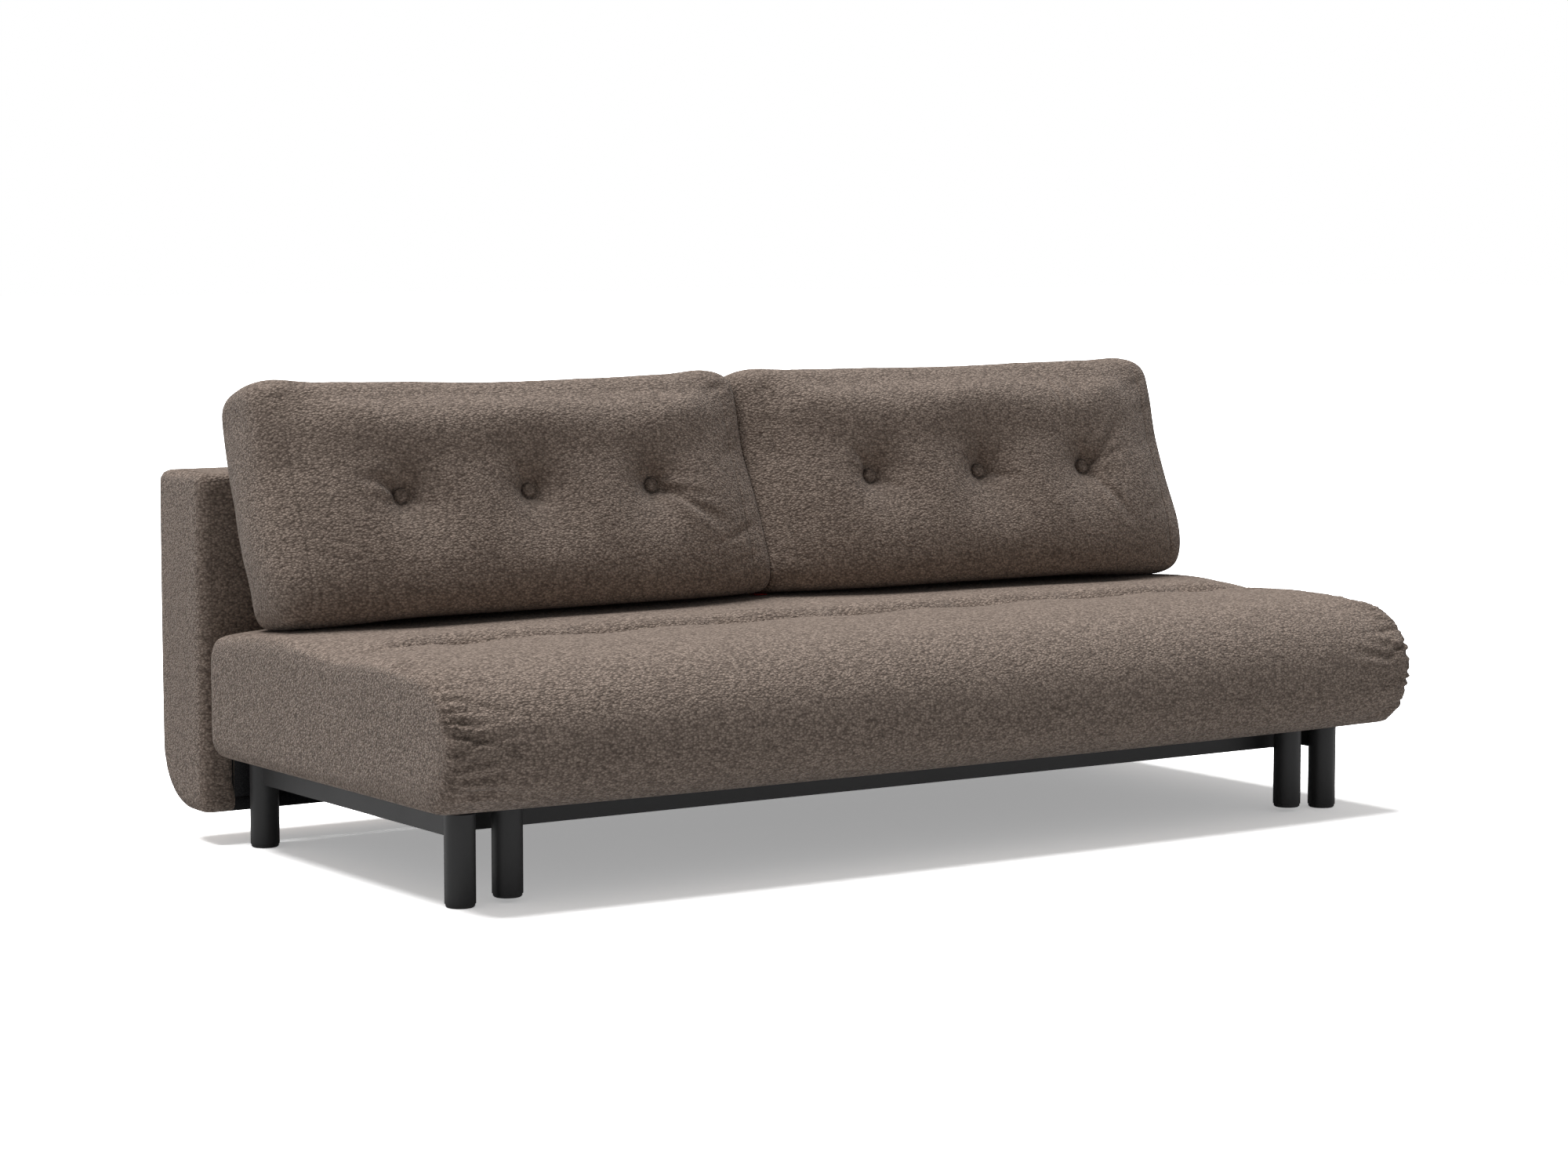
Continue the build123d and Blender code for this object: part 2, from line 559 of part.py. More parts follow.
def main():
    underframe()
    glides()
    hinges()
    seat()
    strap()
    back()
    cushions()
    os.makedirs("parts", exist_ok=True)
    for name, shape in PARTS.items():
        export_step(shape, f"parts/{name}.step")
    print("nodes", len(PARTS), "travel", round(TRAVEL, 2), "pivot", round(PIVOT_Y, 2), round(PIVOT_Z, 2))
    print("link", round(LINK_LENGTH, 2), "crank", round(CRANK_Y, 2), round(CRANK_Z, 2))


main()
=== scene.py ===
# %% [markdown]
# A sofa bed in nubbly cloth on a black steel frame. The frame of solids gives every size and place.
# This lesson dresses it: the soft pieces are remeshed, blown up like real stuffing and pinched where
# they are sewn, and every hard piece gets a finish of its own.

import json
import math

import bmesh
import bpy
import numpy as np
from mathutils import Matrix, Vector
from mathutils.bvhtree import BVHTree
from mathutils.kdtree import KDTree


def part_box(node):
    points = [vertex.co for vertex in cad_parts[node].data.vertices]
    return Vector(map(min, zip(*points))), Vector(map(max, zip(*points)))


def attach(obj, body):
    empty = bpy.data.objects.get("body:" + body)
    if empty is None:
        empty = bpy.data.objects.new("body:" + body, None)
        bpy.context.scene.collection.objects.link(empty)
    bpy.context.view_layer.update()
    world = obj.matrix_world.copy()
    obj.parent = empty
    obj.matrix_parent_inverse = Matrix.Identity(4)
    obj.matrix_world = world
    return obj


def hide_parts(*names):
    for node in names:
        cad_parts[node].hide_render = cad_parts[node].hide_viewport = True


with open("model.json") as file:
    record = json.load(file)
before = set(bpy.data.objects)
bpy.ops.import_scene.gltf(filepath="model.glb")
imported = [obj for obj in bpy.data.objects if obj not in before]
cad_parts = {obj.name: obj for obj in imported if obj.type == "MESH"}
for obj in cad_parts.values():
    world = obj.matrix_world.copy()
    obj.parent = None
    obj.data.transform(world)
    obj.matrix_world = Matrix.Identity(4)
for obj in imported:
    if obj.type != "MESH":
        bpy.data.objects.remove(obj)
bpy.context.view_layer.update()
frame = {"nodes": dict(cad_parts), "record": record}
SCENE = bpy.context.scene
NODES = frame["nodes"]

# %% [markdown]
# Materials come first. A node tree is a chain of small boxes, so two short helpers place a box and
# join two boxes. They keep each material readable as a list of what it is made of.

# %% Helpers for node trees


def add(tree, kind, **values):
    """A new node; values named like sockets go to its inputs, the rest are its settings."""
    made = tree.nodes.new(kind)
    for key, value in values.items():
        name = key.replace("_", " ").title() if not hasattr(made, key) else None
        if name:
            made.inputs[name].default_value = value
        else:
            setattr(made, key, value)
    return made


def maths(tree, operation, a, b):
    """One sum on two values, each a socket or a number."""
    made = tree.nodes.new("ShaderNodeMath")
    made.operation = operation
    for place, value in enumerate((a, b)):
        if isinstance(value, bpy.types.NodeSocket):
            tree.links.new(value, made.inputs[place])
        else:
            made.inputs[place].default_value = value
    return made.outputs[0]


def mix_colour(tree, share, low, high):
    """A colour between two, by a share from a socket; low and high are colours or sockets."""
    made = tree.nodes.new("ShaderNodeMix")
    made.data_type = "RGBA"
    tree.links.new(share, made.inputs["Factor"])
    for place, value in ((6, low), (7, high)):
        if isinstance(value, bpy.types.NodeSocket):
            tree.links.new(value, made.inputs[place])
        else:
            made.inputs[place].default_value = (*value, 1.0)
    return made.outputs[2]


def new_group(name, inputs, outputs):
    """A shader node group with named float or vector inputs and float outputs."""
    group = bpy.data.node_groups.new(name, "ShaderNodeTree")
    for label, kind, value in inputs:
        socket = group.interface.new_socket(label, in_out="INPUT", socket_type=kind)
        if value is not None:
            socket.default_value = value
    for label in outputs:
        group.interface.new_socket(label, in_out="OUTPUT", socket_type="NodeSocketFloat")
    return group, group.nodes.new("NodeGroupInput"), group.nodes.new("NodeGroupOutput")


print("helpers ready")

# %% [markdown]
# The cloth is a taupe boucle: short fat loops of yarn, some pale and some dark. A cell pattern bent by
# noise gives loops that never line up. One group makes the loops once, and the seat, the back, the
# cushions and the coarser webbing all use it with their own yarn size.

# %% Yarn loops as a shared group


def yarn_group():
    group, inside, outside = new_group(
        "yarn_loops",
        [("Vector", "NodeSocketVector", None), ("Yarn Count", "NodeSocketFloat", 260.0)],
        ["Height", "Fleck"],
    )
    count = inside.outputs["Yarn Count"]
    bend = add(group, "ShaderNodeTexNoise", detail=1.0, roughness=0.5)
    group.links.new(inside.outputs["Vector"], bend.inputs["Vector"])
    group.links.new(maths(group, "MULTIPLY", count, 0.55), bend.inputs["Scale"])
    sway = add(group, "ShaderNodeVectorMath", operation="SCALE")
    group.links.new(bend.outputs["Color"], sway.inputs[0])
    group.links.new(maths(group, "DIVIDE", 0.9, count), sway.inputs["Scale"])
    bent = add(group, "ShaderNodeVectorMath", operation="ADD")
    group.links.new(inside.outputs["Vector"], bent.inputs[0])
    group.links.new(sway.outputs[0], bent.inputs[1])
    flat = add(group, "ShaderNodeVectorMath", operation="MULTIPLY")
    flat.inputs[1].default_value = (0.72, 1.0, 1.18)
    group.links.new(bent.outputs[0], flat.inputs[0])
    loops = add(group, "ShaderNodeTexVoronoi", feature="SMOOTH_F1", smoothness=0.35)
    fibre = add(group, "ShaderNodeTexNoise", detail=2.0, roughness=0.6)
    patch = add(group, "ShaderNodeTexNoise", detail=3.0, roughness=0.65)
    for texture, factor in ((loops, 1.0), (fibre, 3.1), (patch, 0.32)):
        group.links.new(flat.outputs[0], texture.inputs["Vector"])
        group.links.new(maths(group, "MULTIPLY", count, factor), texture.inputs["Scale"])
    round_top = maths(group, "SUBTRACT", 1.0, loops.outputs["Distance"])
    fuzz = maths(group, "MULTIPLY", fibre.outputs["Fac"], 0.35)
    group.links.new(maths(group, "ADD", round_top, fuzz), outside.inputs["Height"])
    split = add(group, "ShaderNodeSeparateColor")
    group.links.new(loops.outputs["Color"], split.inputs[0])
    shade = maths(group, "MULTIPLY", split.outputs[0], 0.5)
    cloud = maths(group, "MULTIPLY", patch.outputs["Fac"], 0.5)
    group.links.new(maths(group, "ADD", shade, cloud), outside.inputs["Fleck"])
    return group


YARN = yarn_group()
print("group", YARN.name)

# %% [markdown]
# A material holds the Principled shader. Values that are the same all over, such as the sheen of the
# cloth, are typed on its sockets. What changes over the surface comes through the groups.

# %% Cloth materials


def new_material(name, **sockets):
    """A material with its Principled shader; sockets are set by name."""
    material = bpy.data.materials.new(name)
    material.use_nodes = True
    shader = material.node_tree.nodes["Principled BSDF"]
    for key, value in sockets.items():
        shader.inputs[key.replace("_", " ").title().replace("Ior", "IOR")].default_value = value
    return material, material.node_tree, shader


def object_vector(tree):
    return add(tree, "ShaderNodeTexCoord").outputs["Object"]


def bump(tree, shader, height, strength, distance):
    made = add(tree, "ShaderNodeBump", strength=strength, distance=distance)
    tree.links.new(height, made.inputs["Height"])
    tree.links.new(made.outputs["Normal"], shader.inputs["Normal"])


def cloth(name, dark, pale, yarn_count, strength, sheen):
    """A woven finish: dark and pale yarn, with painted shade darkening it down the sides of each loop, and
    the loops as bump.
    """
    material, tree, shader = new_material(
        name, roughness=0.92, sheen_weight=sheen, sheen_roughness=0.45, specular_ior_level=0.05
    )
    yarn = add(tree, "ShaderNodeGroup", node_tree=YARN)
    yarn.inputs["Yarn Count"].default_value = yarn_count
    tree.links.new(object_vector(tree), yarn.inputs["Vector"])
    # Painted shade: the colour darkens where the loops are low, between them, on top of the yarn's own
    # pale and dark flecks.
    deep = maths(tree, "POWER", yarn.outputs["Height"], 1.6)
    fleck_and_loop_shade = maths(tree, "MULTIPLY", deep, yarn.outputs["Fleck"])
    share = maths(tree, "MULTIPLY", fleck_and_loop_shade, 1.7)
    tree.links.new(mix_colour(tree, share, dark, pale), shader.inputs["Base Color"])
    bump(tree, shader, yarn.outputs["Height"], strength, 0.9 / yarn_count)
    return material


BOUCLE = cloth("taupe_boucle", (0.118, 0.09, 0.073), (0.48, 0.38, 0.318), 270.0, 0.75, 0.17)
LINING = cloth("black_lining_cloth", (0.012, 0.012, 0.013), (0.05, 0.05, 0.053), 900.0, 0.35, 0.05)
WEBBING = cloth("red_webbing_weave", (0.33, 0.012, 0.012), (0.72, 0.05, 0.045), 620.0, 0.5, 0.1)
print("cloths", BOUCLE.name, LINING.name, WEBBING.name)

# %% [markdown]
# Metal, nylon and rubber share one group too: a fine grain, like the orange peel of powder coat, and a
# slow smudge that makes the gloss uneven, as hands and shoes do.

# %% Coat grain as a shared group


def grain_group():
    group, inside, outside = new_group(
        "coat_grain",
        [("Vector", "NodeSocketVector", None), ("Grain Count", "NodeSocketFloat", 900.0)],
        ["Grain", "Smudge"],
    )
    peel = add(group, "ShaderNodeTexNoise", detail=1.0, roughness=0.4)
    smear = add(group, "ShaderNodeTexNoise", scale=9.0, detail=5.0, roughness=0.62)
    for texture in (peel, smear):
        group.links.new(inside.outputs["Vector"], texture.inputs["Vector"])
    group.links.new(inside.outputs["Grain Count"], peel.inputs["Scale"])
    group.links.new(peel.outputs["Fac"], outside.inputs["Grain"])
    group.links.new(smear.outputs["Fac"], outside.inputs["Smudge"])
    return group


COAT = grain_group()
print("group", COAT.name)

# %% Coated, moulded and plated finishes


def hard(name, clean, rubbed, gloss, count, strength, **sockets):
    """A hard finish: two near colours and an uneven gloss, with a fine grain as bump."""
    material, tree, shader = new_material(name, **sockets)
    coat = add(tree, "ShaderNodeGroup", node_tree=COAT)
    coat.inputs["Grain Count"].default_value = count
    tree.links.new(object_vector(tree), coat.inputs["Vector"])
    tree.links.new(mix_colour(tree, coat.outputs["Smudge"], clean, rubbed), shader.inputs["Base Color"])
    low, high = gloss
    spread = maths(tree, "MULTIPLY", coat.outputs["Smudge"], high - low)
    tree.links.new(maths(tree, "ADD", spread, low), shader.inputs["Roughness"])
    bump(tree, shader, coat.outputs["Grain"], strength, 0.0004)
    return material


POWDER = hard("black_powder_coat", (0.036, 0.036, 0.037), (0.05, 0.05, 0.051), (0.38, 0.56), 950.0, 0.3,
              specular_ior_level=0.3)
NYLON = hard("black_nylon", (0.018, 0.018, 0.018), (0.04, 0.04, 0.04), (0.5, 0.75), 500.0, 0.2)
RUBBER = hard("matt_rubber", (0.014, 0.014, 0.014), (0.03, 0.03, 0.03), (0.75, 0.95), 700.0, 0.4)
ZINC = hard("zinc_plate", (0.52, 0.53, 0.55), (0.66, 0.66, 0.66), (0.24, 0.5), 600.0, 0.15, metallic=1.0)
print("hard finishes", POWDER.name, NYLON.name, RUBBER.name, ZINC.name)

# %% [markdown]
# The hidden frame is planed softwood. Its growth lines run along each board, so one noise is drawn out
# along the board's length, and boards that run crosswise have a material of their own.

# %% Timber


def timber(name, stretch):
    """Planed softwood: noise drawn out along the board gives the growth lines."""
    material, tree, shader = new_material(name, roughness=0.62)
    drawn = add(tree, "ShaderNodeMapping")
    drawn.inputs["Scale"].default_value = stretch
    tree.links.new(object_vector(tree), drawn.inputs["Vector"])
    lines = add(tree, "ShaderNodeTexNoise", scale=1.0, detail=5.0, roughness=0.6, distortion=0.4)
    tree.links.new(drawn.outputs[0], lines.inputs["Vector"])
    tree.links.new(
        mix_colour(tree, lines.outputs["Fac"], (0.44, 0.29, 0.16), (0.78, 0.62, 0.42)),
        shader.inputs["Base Color"],
    )
    bump(tree, shader, lines.outputs["Fac"], 0.25, 0.0006)
    return material


TIMBER_LONG = timber("pale_timber_lengthwise", (3.0, 60.0, 60.0))
TIMBER_CROSS = timber("pale_timber_crosswise", (60.0, 3.0, 60.0))
print("timber", TIMBER_LONG.name, TIMBER_CROSS.name)

# %% [markdown]
# The record names a finish for each solid, so the hard pieces are painted in one loop. Boards that run
# across the sofa get the timber whose growth lines run that way too.

# %% Finishes for the hard nodes
BY_SLOT = {"upholstery": BOUCLE, "frame_metal": POWDER, "lining": LINING, "timber": TIMBER_LONG,
           "webbing": WEBBING, "nylon": NYLON, "rubber": RUBBER, "steel": ZINC}
CROSSWISE = ("seat_slats", "seat_base_bearers", "back_frame_posts")


def paint(obj, material):
    obj.data.materials.clear()
    obj.data.materials.append(material)


for subpart in frame["record"]["subparts"]:
    name = subpart["node"]
    paint(NODES[name], TIMBER_CROSS if name in CROSSWISE else BY_SLOT[subpart["material_slot"]])

# %% [markdown]
# The soft pieces start from their solids. A solid's mesh is a few long triangles, which can't fold, so
# it is copied, merged and rebuilt as an even net of small squares. Points are then moved as numbers.

# %% Even nets


def copy_solid(node, name):
    """A merged copy of a node's mesh as an object of its own."""
    mesh = bpy.data.meshes.new(name)
    net = bmesh.new()
    net.from_mesh(NODES[node].data)
    bmesh.ops.remove_doubles(net, verts=net.verts, dist=1e-5)
    net.to_mesh(mesh)
    net.free()
    obj = bpy.data.objects.new(name, mesh)
    SCENE.collection.objects.link(obj)
    return obj


def bake(obj):
    """The modified mesh becomes the object's own."""
    graph = bpy.context.evaluated_depsgraph_get()
    made = bpy.data.meshes.new_from_object(obj.evaluated_get(graph))
    obj.modifiers.clear()
    old = obj.data
    obj.data = made
    bpy.data.meshes.remove(old)
    return obj


def even_net(obj, size, passes):
    """An even net of squares of that size, smoothed a little."""
    net = obj.modifiers.new("net", "REMESH")
    net.mode = "VOXEL"
    net.voxel_size = size
    ease = obj.modifiers.new("ease", "SMOOTH")
    ease.factor = 0.5
    ease.iterations = passes
    return bake(obj)


print("net tools ready")

# %% Points as numbers


def points(obj):
    co = np.zeros(len(obj.data.vertices) * 3)
    obj.data.vertices.foreach_get("co", co)
    return co.reshape(-1, 3)


def move_to(obj, co):
    obj.data.vertices.foreach_set("co", co.ravel())
    obj.data.update()


def normals(obj):
    out = np.zeros(len(obj.data.vertices) * 3)
    obj.data.vertex_normals.foreach_get("vector", out)
    return out.reshape(-1, 3)


def relax(obj, values, share, passes):
    """Values at the points of a net, drawn to the mean of their neighbours by a share for each point."""
    ends = np.zeros(len(obj.data.edges) * 2, dtype=np.int64)
    obj.data.edges.foreach_get("vertices", ends)
    first, second = ends[0::2], ends[1::2]
    size = len(values)
    count = np.maximum(np.bincount(ends, minlength=size), 1)
    for _ in range(passes):
        for axis in range(3):
            column = values[:, axis]
            total = np.bincount(first, column[second], size) + np.bincount(second, column[first], size)
            values[:, axis] = column + share * (total / count - column)
    return values


print("point tools ready")

# %% [markdown]
# Folds, fades and unevenness are sums of a few plain curves: a bell, a smooth step and a slow wave. The
# wave comes from a hash of whole numbers and not from chance, so every run gives the same cloth.

# %% Curves for folds


def bump_at(distance, width):
    """A bell of height 1 at distance 0."""
    return np.exp(-((distance / width) ** 2))


def step(value, start, end):
    """0 before start, 1 after end, smooth between."""
    share = np.clip((value - start) / (end - start), 0.0, 1.0)
    return share * share * (3.0 - 2.0 * share)


def hashed(index, seed):
    """A fixed number from 0 to 1 for each whole number, so that folds vary alike on every run."""
    return np.modf(np.abs(np.sin(index * 12.9898 + seed * 78.233) * 43758.5453))[0]


def slow_noise(value, seed):
    """Smooth noise along one axis, about 1 wave to the unit, from -1 to 1."""
    low = np.floor(value)
    share = value - low
    share = share * share * (3.0 - 2.0 * share)
    return 2.0 * (hashed(low, seed) * (1.0 - share) + hashed(low + 1.0, seed) * share) - 1.0


print("curves ready")

# %% [markdown]
# Stuffing pushes cloth outwards until the seams hold it. Blender's cloth does the same: a pressure
# inside, no gravity, and some points held where buttons and flat undersides keep them. It runs on a
# coarse net, which settles fast, and the swelling is carried over to the fine net that is seen.

# %% The stuffing simulation
SIM_FRAMES = 20
COARSE_PASSES = 2
CLOTH = {"quality": 5, "mass": 0.25, "tension_stiffness": 18.0, "compression_stiffness": 18.0,
         "shear_stiffness": 6.0, "bending_stiffness": 0.6}
EASE_SHARE, EASE_PASSES = 0.6, 3


def swelling(node, size, held, pressure, cap):
    """Blows up a coarse net of a solid; gives its points and how far each one moved."""
    net = even_net(copy_solid(node, f"{node}_stuffing"), size, COARSE_PASSES)
    rest = points(net)
    pins = net.vertex_groups.new(name="held")
    pins.add([int(i) for i in np.flatnonzero(held(rest, normals(net)))], 1.0, "REPLACE")
    sim = net.modifiers.new("stuffing", "CLOTH")
    for key, value in CLOTH.items():
        setattr(sim.settings, key, value)
    sim.settings.use_pressure = True
    sim.settings.uniform_pressure_force = pressure
    sim.settings.vertex_group_mass = "held"
    sim.settings.effector_weights.gravity = 0.0
    sim.point_cache.frame_end = SIM_FRAMES
    for number in range(1, SIM_FRAMES + 1):
        SCENE.frame_set(number)
    bake(net)
    SCENE.frame_set(1)
    shift = points(net) - rest
    far = np.linalg.norm(shift, axis=1, keepdims=True)
    shift *= np.minimum(1.0, cap / np.maximum(far, 1e-9))
    shift = relax(net, shift, EASE_SHARE, EASE_PASSES)
    print(node, "stuffed,", len(rest), "points, moved up to", round(float(far.max()) * 1000, 1), "mm")
    bpy.data.objects.remove(net)
    return rest, shift


print("stuffing settles in", SIM_FRAMES, "frames")

# %% From the coarse net to the fine one
SHARED_POINTS, SHARED_NEAR = 4, 0.002


def carry(rest, shift, co):
    """The swelling of a coarse net at other points, from the nearest few."""
    tree = KDTree(len(rest))
    for index, spot in enumerate(rest):
        tree.insert(spot, index)
    tree.balance()
    out = np.zeros_like(co)
    for index, spot in enumerate(co):
        found = tree.find_n(spot, SHARED_POINTS)
        weights = np.array([1.0 / (distance + SHARED_NEAR) for _, _, distance in found])
        out[index] = weights @ shift[[number for _, number, _ in found]] / weights.sum()
    return out


print("swelling is shared from", SHARED_POINTS, "points")

# %% [markdown]
# The seat is one long pad with a rolled front. A sewn line runs along the top with a pull every so
# often, and the roll's cover is gathered at both ends, where it is sewn to the flat end panels.

# %% Seat sizes from the frame
SEAT_LOW, SEAT_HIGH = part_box("seat_cushion")
BOARD_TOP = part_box("seat_base_boards")[1].z
HALF = SEAT_HIGH.x
TUFT_Y = SEAT_LOW.y + 0.4055
TUFT_GAP = 0.26
ROLL_MIDDLE = Vector((0.0, SEAT_LOW.y + 0.165, 0.268))
ROLL_RADIUS = 0.15
print("seat", [round(v, 3) for v in SEAT_HIGH - SEAT_LOW])

# %% [markdown]
# A fold is three bell curves side by side: one down for the sharp valley, and one up on each side for
# its soft ridges. The sewn line is one long valley with a raised edge behind it, so that it still
# shows in a low view.

# %% Sewn line along the seat
LINE_DEPTH, LINE_WIDTH = 0.012, 0.012
FRONT_FILL, REAR_FILL, FILL_WIDTH = 0.009, 0.014, 0.075
CREST_HEIGHT, CREST_BEHIND, CREST_WIDTH = 0.007, 0.045, 0.035
PULLS = [(0.009, 0.03), (0.007, 0.075)]
LINE_FADE = (0.84, 0.95)
LINE_DRIFT = 0.006
TOP_FACING = (0.3, 0.8)


def fold(across, width):
    """A sharp valley between two soft ridges."""
    ridges = bump_at(across - 2.0 * width, 1.5 * width) + bump_at(across + 2.0 * width, 1.5 * width)
    return 0.4 * ridges - bump_at(across, width)


def tuft_line(co, face):
    """How far the sewn line lifts each point of the seat; where it pulls, that is below zero."""
    along = co[:, 0] / TUFT_GAP
    near = np.abs(along - np.round(along)) * TUFT_GAP
    across = co[:, 1] - TUFT_Y - LINE_DRIFT * slow_noise(along * 1.7, 3.0)
    fill = np.where(across < 0.0, FRONT_FILL, REAR_FILL) * bump_at(across, FILL_WIDTH)
    crest = CREST_HEIGHT * bump_at(across - CREST_BEHIND, CREST_WIDTH)
    lift = fill + crest - LINE_DEPTH * bump_at(across, LINE_WIDTH)
    reach = np.hypot(near, 1.1 * across)
    for depth, width in PULLS:
        lift -= depth * bump_at(reach, width)
    return lift * (1.0 - step(np.abs(co[:, 0]), *LINE_FADE)) * step(face[:, 2], *TOP_FACING)


print("sewn line at y", round(TUFT_Y, 3))

# %% [markdown]
# Where the sewn line stops, its pull has nowhere to go, and the cover creases towards the corners. The
# folds could be sculpted, but a short list of angles, lengths and depths is easier to change.

# %% Folds that fan out from the line's ends
FAN_START = 0.84
FAN_WIDTH, FAN_SPREAD, FAN_BOW = 0.005, 0.03, 0.25
FANS = [(4.0, 0.16, 0.0025), (22.0, 0.2, 0.0035), (41.0, 0.22, 0.003), (63.0, 0.19, 0.0035),
        (84.0, 0.12, 0.002)]


def tuft_fans(co, face):
    """Folds by angle, length and depth, from both ends of the sewn line to the corners of the roll."""
    lift = np.zeros(len(co))
    out = np.abs(co[:, 0]) - FAN_START
    fore = TUFT_Y - co[:, 1]
    for angle, length, depth in FANS:
        turn = math.radians(angle)
        along = out * math.cos(turn) + fore * math.sin(turn)
        across = fore * math.cos(turn) - out * math.sin(turn) + FAN_BOW * along * along / length
        fade = step(along, 0.0, 0.03) * (1.0 - step(along, 0.4 * length, length))
        lift += depth * fade * fold(across, FAN_WIDTH + FAN_SPREAD * np.clip(along, 0.0, length))
    return lift * step(face[:, 2], *TOP_FACING)


print("fans", 2 * len(FANS))

# %% [markdown]
# A round end panel has less edge than the cover has cloth, so the cover is drawn up in small gathers
# along the seam. A loop sets them round the roll. A fixed hash stands in for chance: each gather
# differs from the next, and every run gives the same ones.

# %% Gathers at the ends of the roll
GATHERS = 20
GATHER_SEED = 7.0
GATHER_FIRST, GATHER_SPAN = -44.0, 158.0
GATHER_LENGTH, GATHER_MORE = 0.08, 0.16
GATHER_HEIGHT, GATHER_TALLER = 0.0035, 0.0045
GATHER_WIDTH, GATHER_SPREAD = 0.0042, 0.028
PANEL_FACING = (0.9, 0.985)


def end_gathers(co, face):
    """Gathers that run in from both ends of the roll, where its cover is sewn to the end panel."""
    turn = np.arctan2(co[:, 2] - ROLL_MIDDLE.z, ROLL_MIDDLE.y - co[:, 1])
    inward = HALF - np.abs(co[:, 0])
    width = GATHER_WIDTH + GATHER_SPREAD * np.clip(inward, 0.0, 0.2)
    lift = np.zeros(len(co))
    for number in range(2 * GATHERS):
        side = 1.0 if number < GATHERS else -1.0
        place, long, deep, lean = (hashed(number + 1.0, GATHER_SEED + k) for k in range(4))
        share = (number % GATHERS + 0.8 * (place - 0.5)) / (GATHERS - 1)
        start = math.radians(GATHER_FIRST + GATHER_SPAN * share)
        length = GATHER_LENGTH + GATHER_MORE * long * long
        bend = (0.9 * lean - 0.45) * inward + 1.2 * (lean - 0.4) * inward ** 2
        fade = 1.0 - step(inward, 0.2 * length, length)
        tall = (GATHER_HEIGHT + GATHER_TALLER * deep) * (1.0 - 0.5 * step(start, 0.5, 1.4))
        ridge = tall * fade * fold(ROLL_RADIUS * (turn - start) - bend, width)
        lift += np.where(co[:, 0] * side > 0.0, ridge, 0.0)
    return lift * (1.0 - step(np.abs(face[:, 0]), *PANEL_FACING))


def slow_swell(co, seed):
    """The gentle unevenness of a filled pad."""
    along = slow_noise(co[:, 0] * 6.0 + 2.0 * co[:, 2], seed)
    return (along + slow_noise(co[:, 1] * 7.0 + 3.0 * co[:, 0], seed + 5.0)) / 2.0


print("gathers", 2 * GATHERS)

# %% [markdown]
# Now the pad itself. A fine net takes over the swelling of the coarse one, and the folds are added.
# Under the loose cushions the top stays nearly as the solid has it, so that they rest on it.

# %% Seat pad
NET_PASSES = 8
SEAT_NET, SEAT_COARSE = 0.0075, 0.02
SEAT_PRESSURE, SEAT_CAP = 1.2, 0.004
SEAT_SWELL, SWELL_SEED = 0.0008, 11.0
REAR_LIFT = 0.006
CORNER_PASSES = 30
SIDE_ROOM, REAR_ROOM = 0.004, 0.001
HELD_HEIGHT, HELD_LINE = 0.012, 0.014
# Each pair is where a change over the seat starts and where it is full.
CUSHIONS_FROM, CUSHIONS_FACING = (0.0, 0.06), (0.2, 0.6)
SWELL_UNTIL, SWELL_FACING = (0.29, 0.33), (0.5, 0.9)
CORNER_OUT, CORNER_BACK, CORNER_UP, CORNER_OVER = (0.935, 0.98), (-0.3, -0.2), (0.2, 0.29), (0.004, 0.02)
REAR_OUT, REAR_FACING, REAR_BACK = (0.72, 0.97), (0.1, 0.6), (-0.1, 0.15)
FOLDS_OVER = (0.004, 0.03)


def seat_held(co, face):
    """The underside and the sewn line stay where they are."""
    line = (np.abs(co[:, 1] - TUFT_Y) < HELD_LINE) & (face[:, 2] > 0.4)
    return (co[:, 2] < BOARD_TOP + HELD_HEIGHT) | line


def low_corners(co):
    """The front lower corners, which are rounder than the solid's."""
    ends = step(np.abs(co[:, 0]), *CORNER_OUT) * (1.0 - step(co[:, 1], *CORNER_BACK))
    return ends * (1.0 - step(co[:, 2], *CORNER_UP)) * step(co[:, 2] - SEAT_LOW.z, *CORNER_OVER)


def rear_ends(co, face):
    """The top at both ends behind the sewn line, which stands a little higher than the solid's."""
    return step(np.abs(co[:, 0]), *REAR_OUT) * step(face[:, 2], *REAR_FACING) * step(co[:, 1], *REAR_BACK)


def seat_pad():
    pad = even_net(copy_solid("seat_cushion", "seat_pad"), SEAT_NET, NET_PASSES)
    co, face = points(pad), normals(pad)
    bare = 1.0 - step(co[:, 1], *CUSHIONS_FROM) * step(face[:, 2], *CUSHIONS_FACING)
    free = bare * (1.0 - step(co[:, 1], *SWELL_UNTIL)) * (1.0 - step(np.abs(face[:, 0]), *SWELL_FACING))
    rest, shift = swelling("seat_cushion", SEAT_COARSE, seat_held, SEAT_PRESSURE, SEAT_CAP)
    co += carry(rest, shift, co) * free[:, None]
    co = relax(pad, co, 0.5 * low_corners(co), CORNER_PASSES)
    outside = step(co[:, 2] - SEAT_LOW.z, *FOLDS_OVER)
    lift = tuft_line(co, face) + tuft_fans(co, face) + end_gathers(co, face)
    lift += SEAT_SWELL * slow_swell(co, SWELL_SEED)
    co += face * (lift * bare * outside)[:, None]
    co[:, 2] += REAR_LIFT * rear_ends(co, face)
    co[:, 0] = np.clip(co[:, 0], -HALF - SIDE_ROOM, HALF + SIDE_ROOM)
    co[:, 1] = np.minimum(co[:, 1], SEAT_HIGH.y + REAR_ROOM)
    move_to(pad, co)
    return pad


SEAT_PAD = seat_pad()
paint(SEAT_PAD, BOUCLE)
print(SEAT_PAD.name, len(SEAT_PAD.data.polygons), "faces")

# %% [markdown]
# The back is a firm slab: a rounded heel below, soft edges, and nearly flat faces. It only needs a
# slight crown, so it is shaped by number and not simulated.

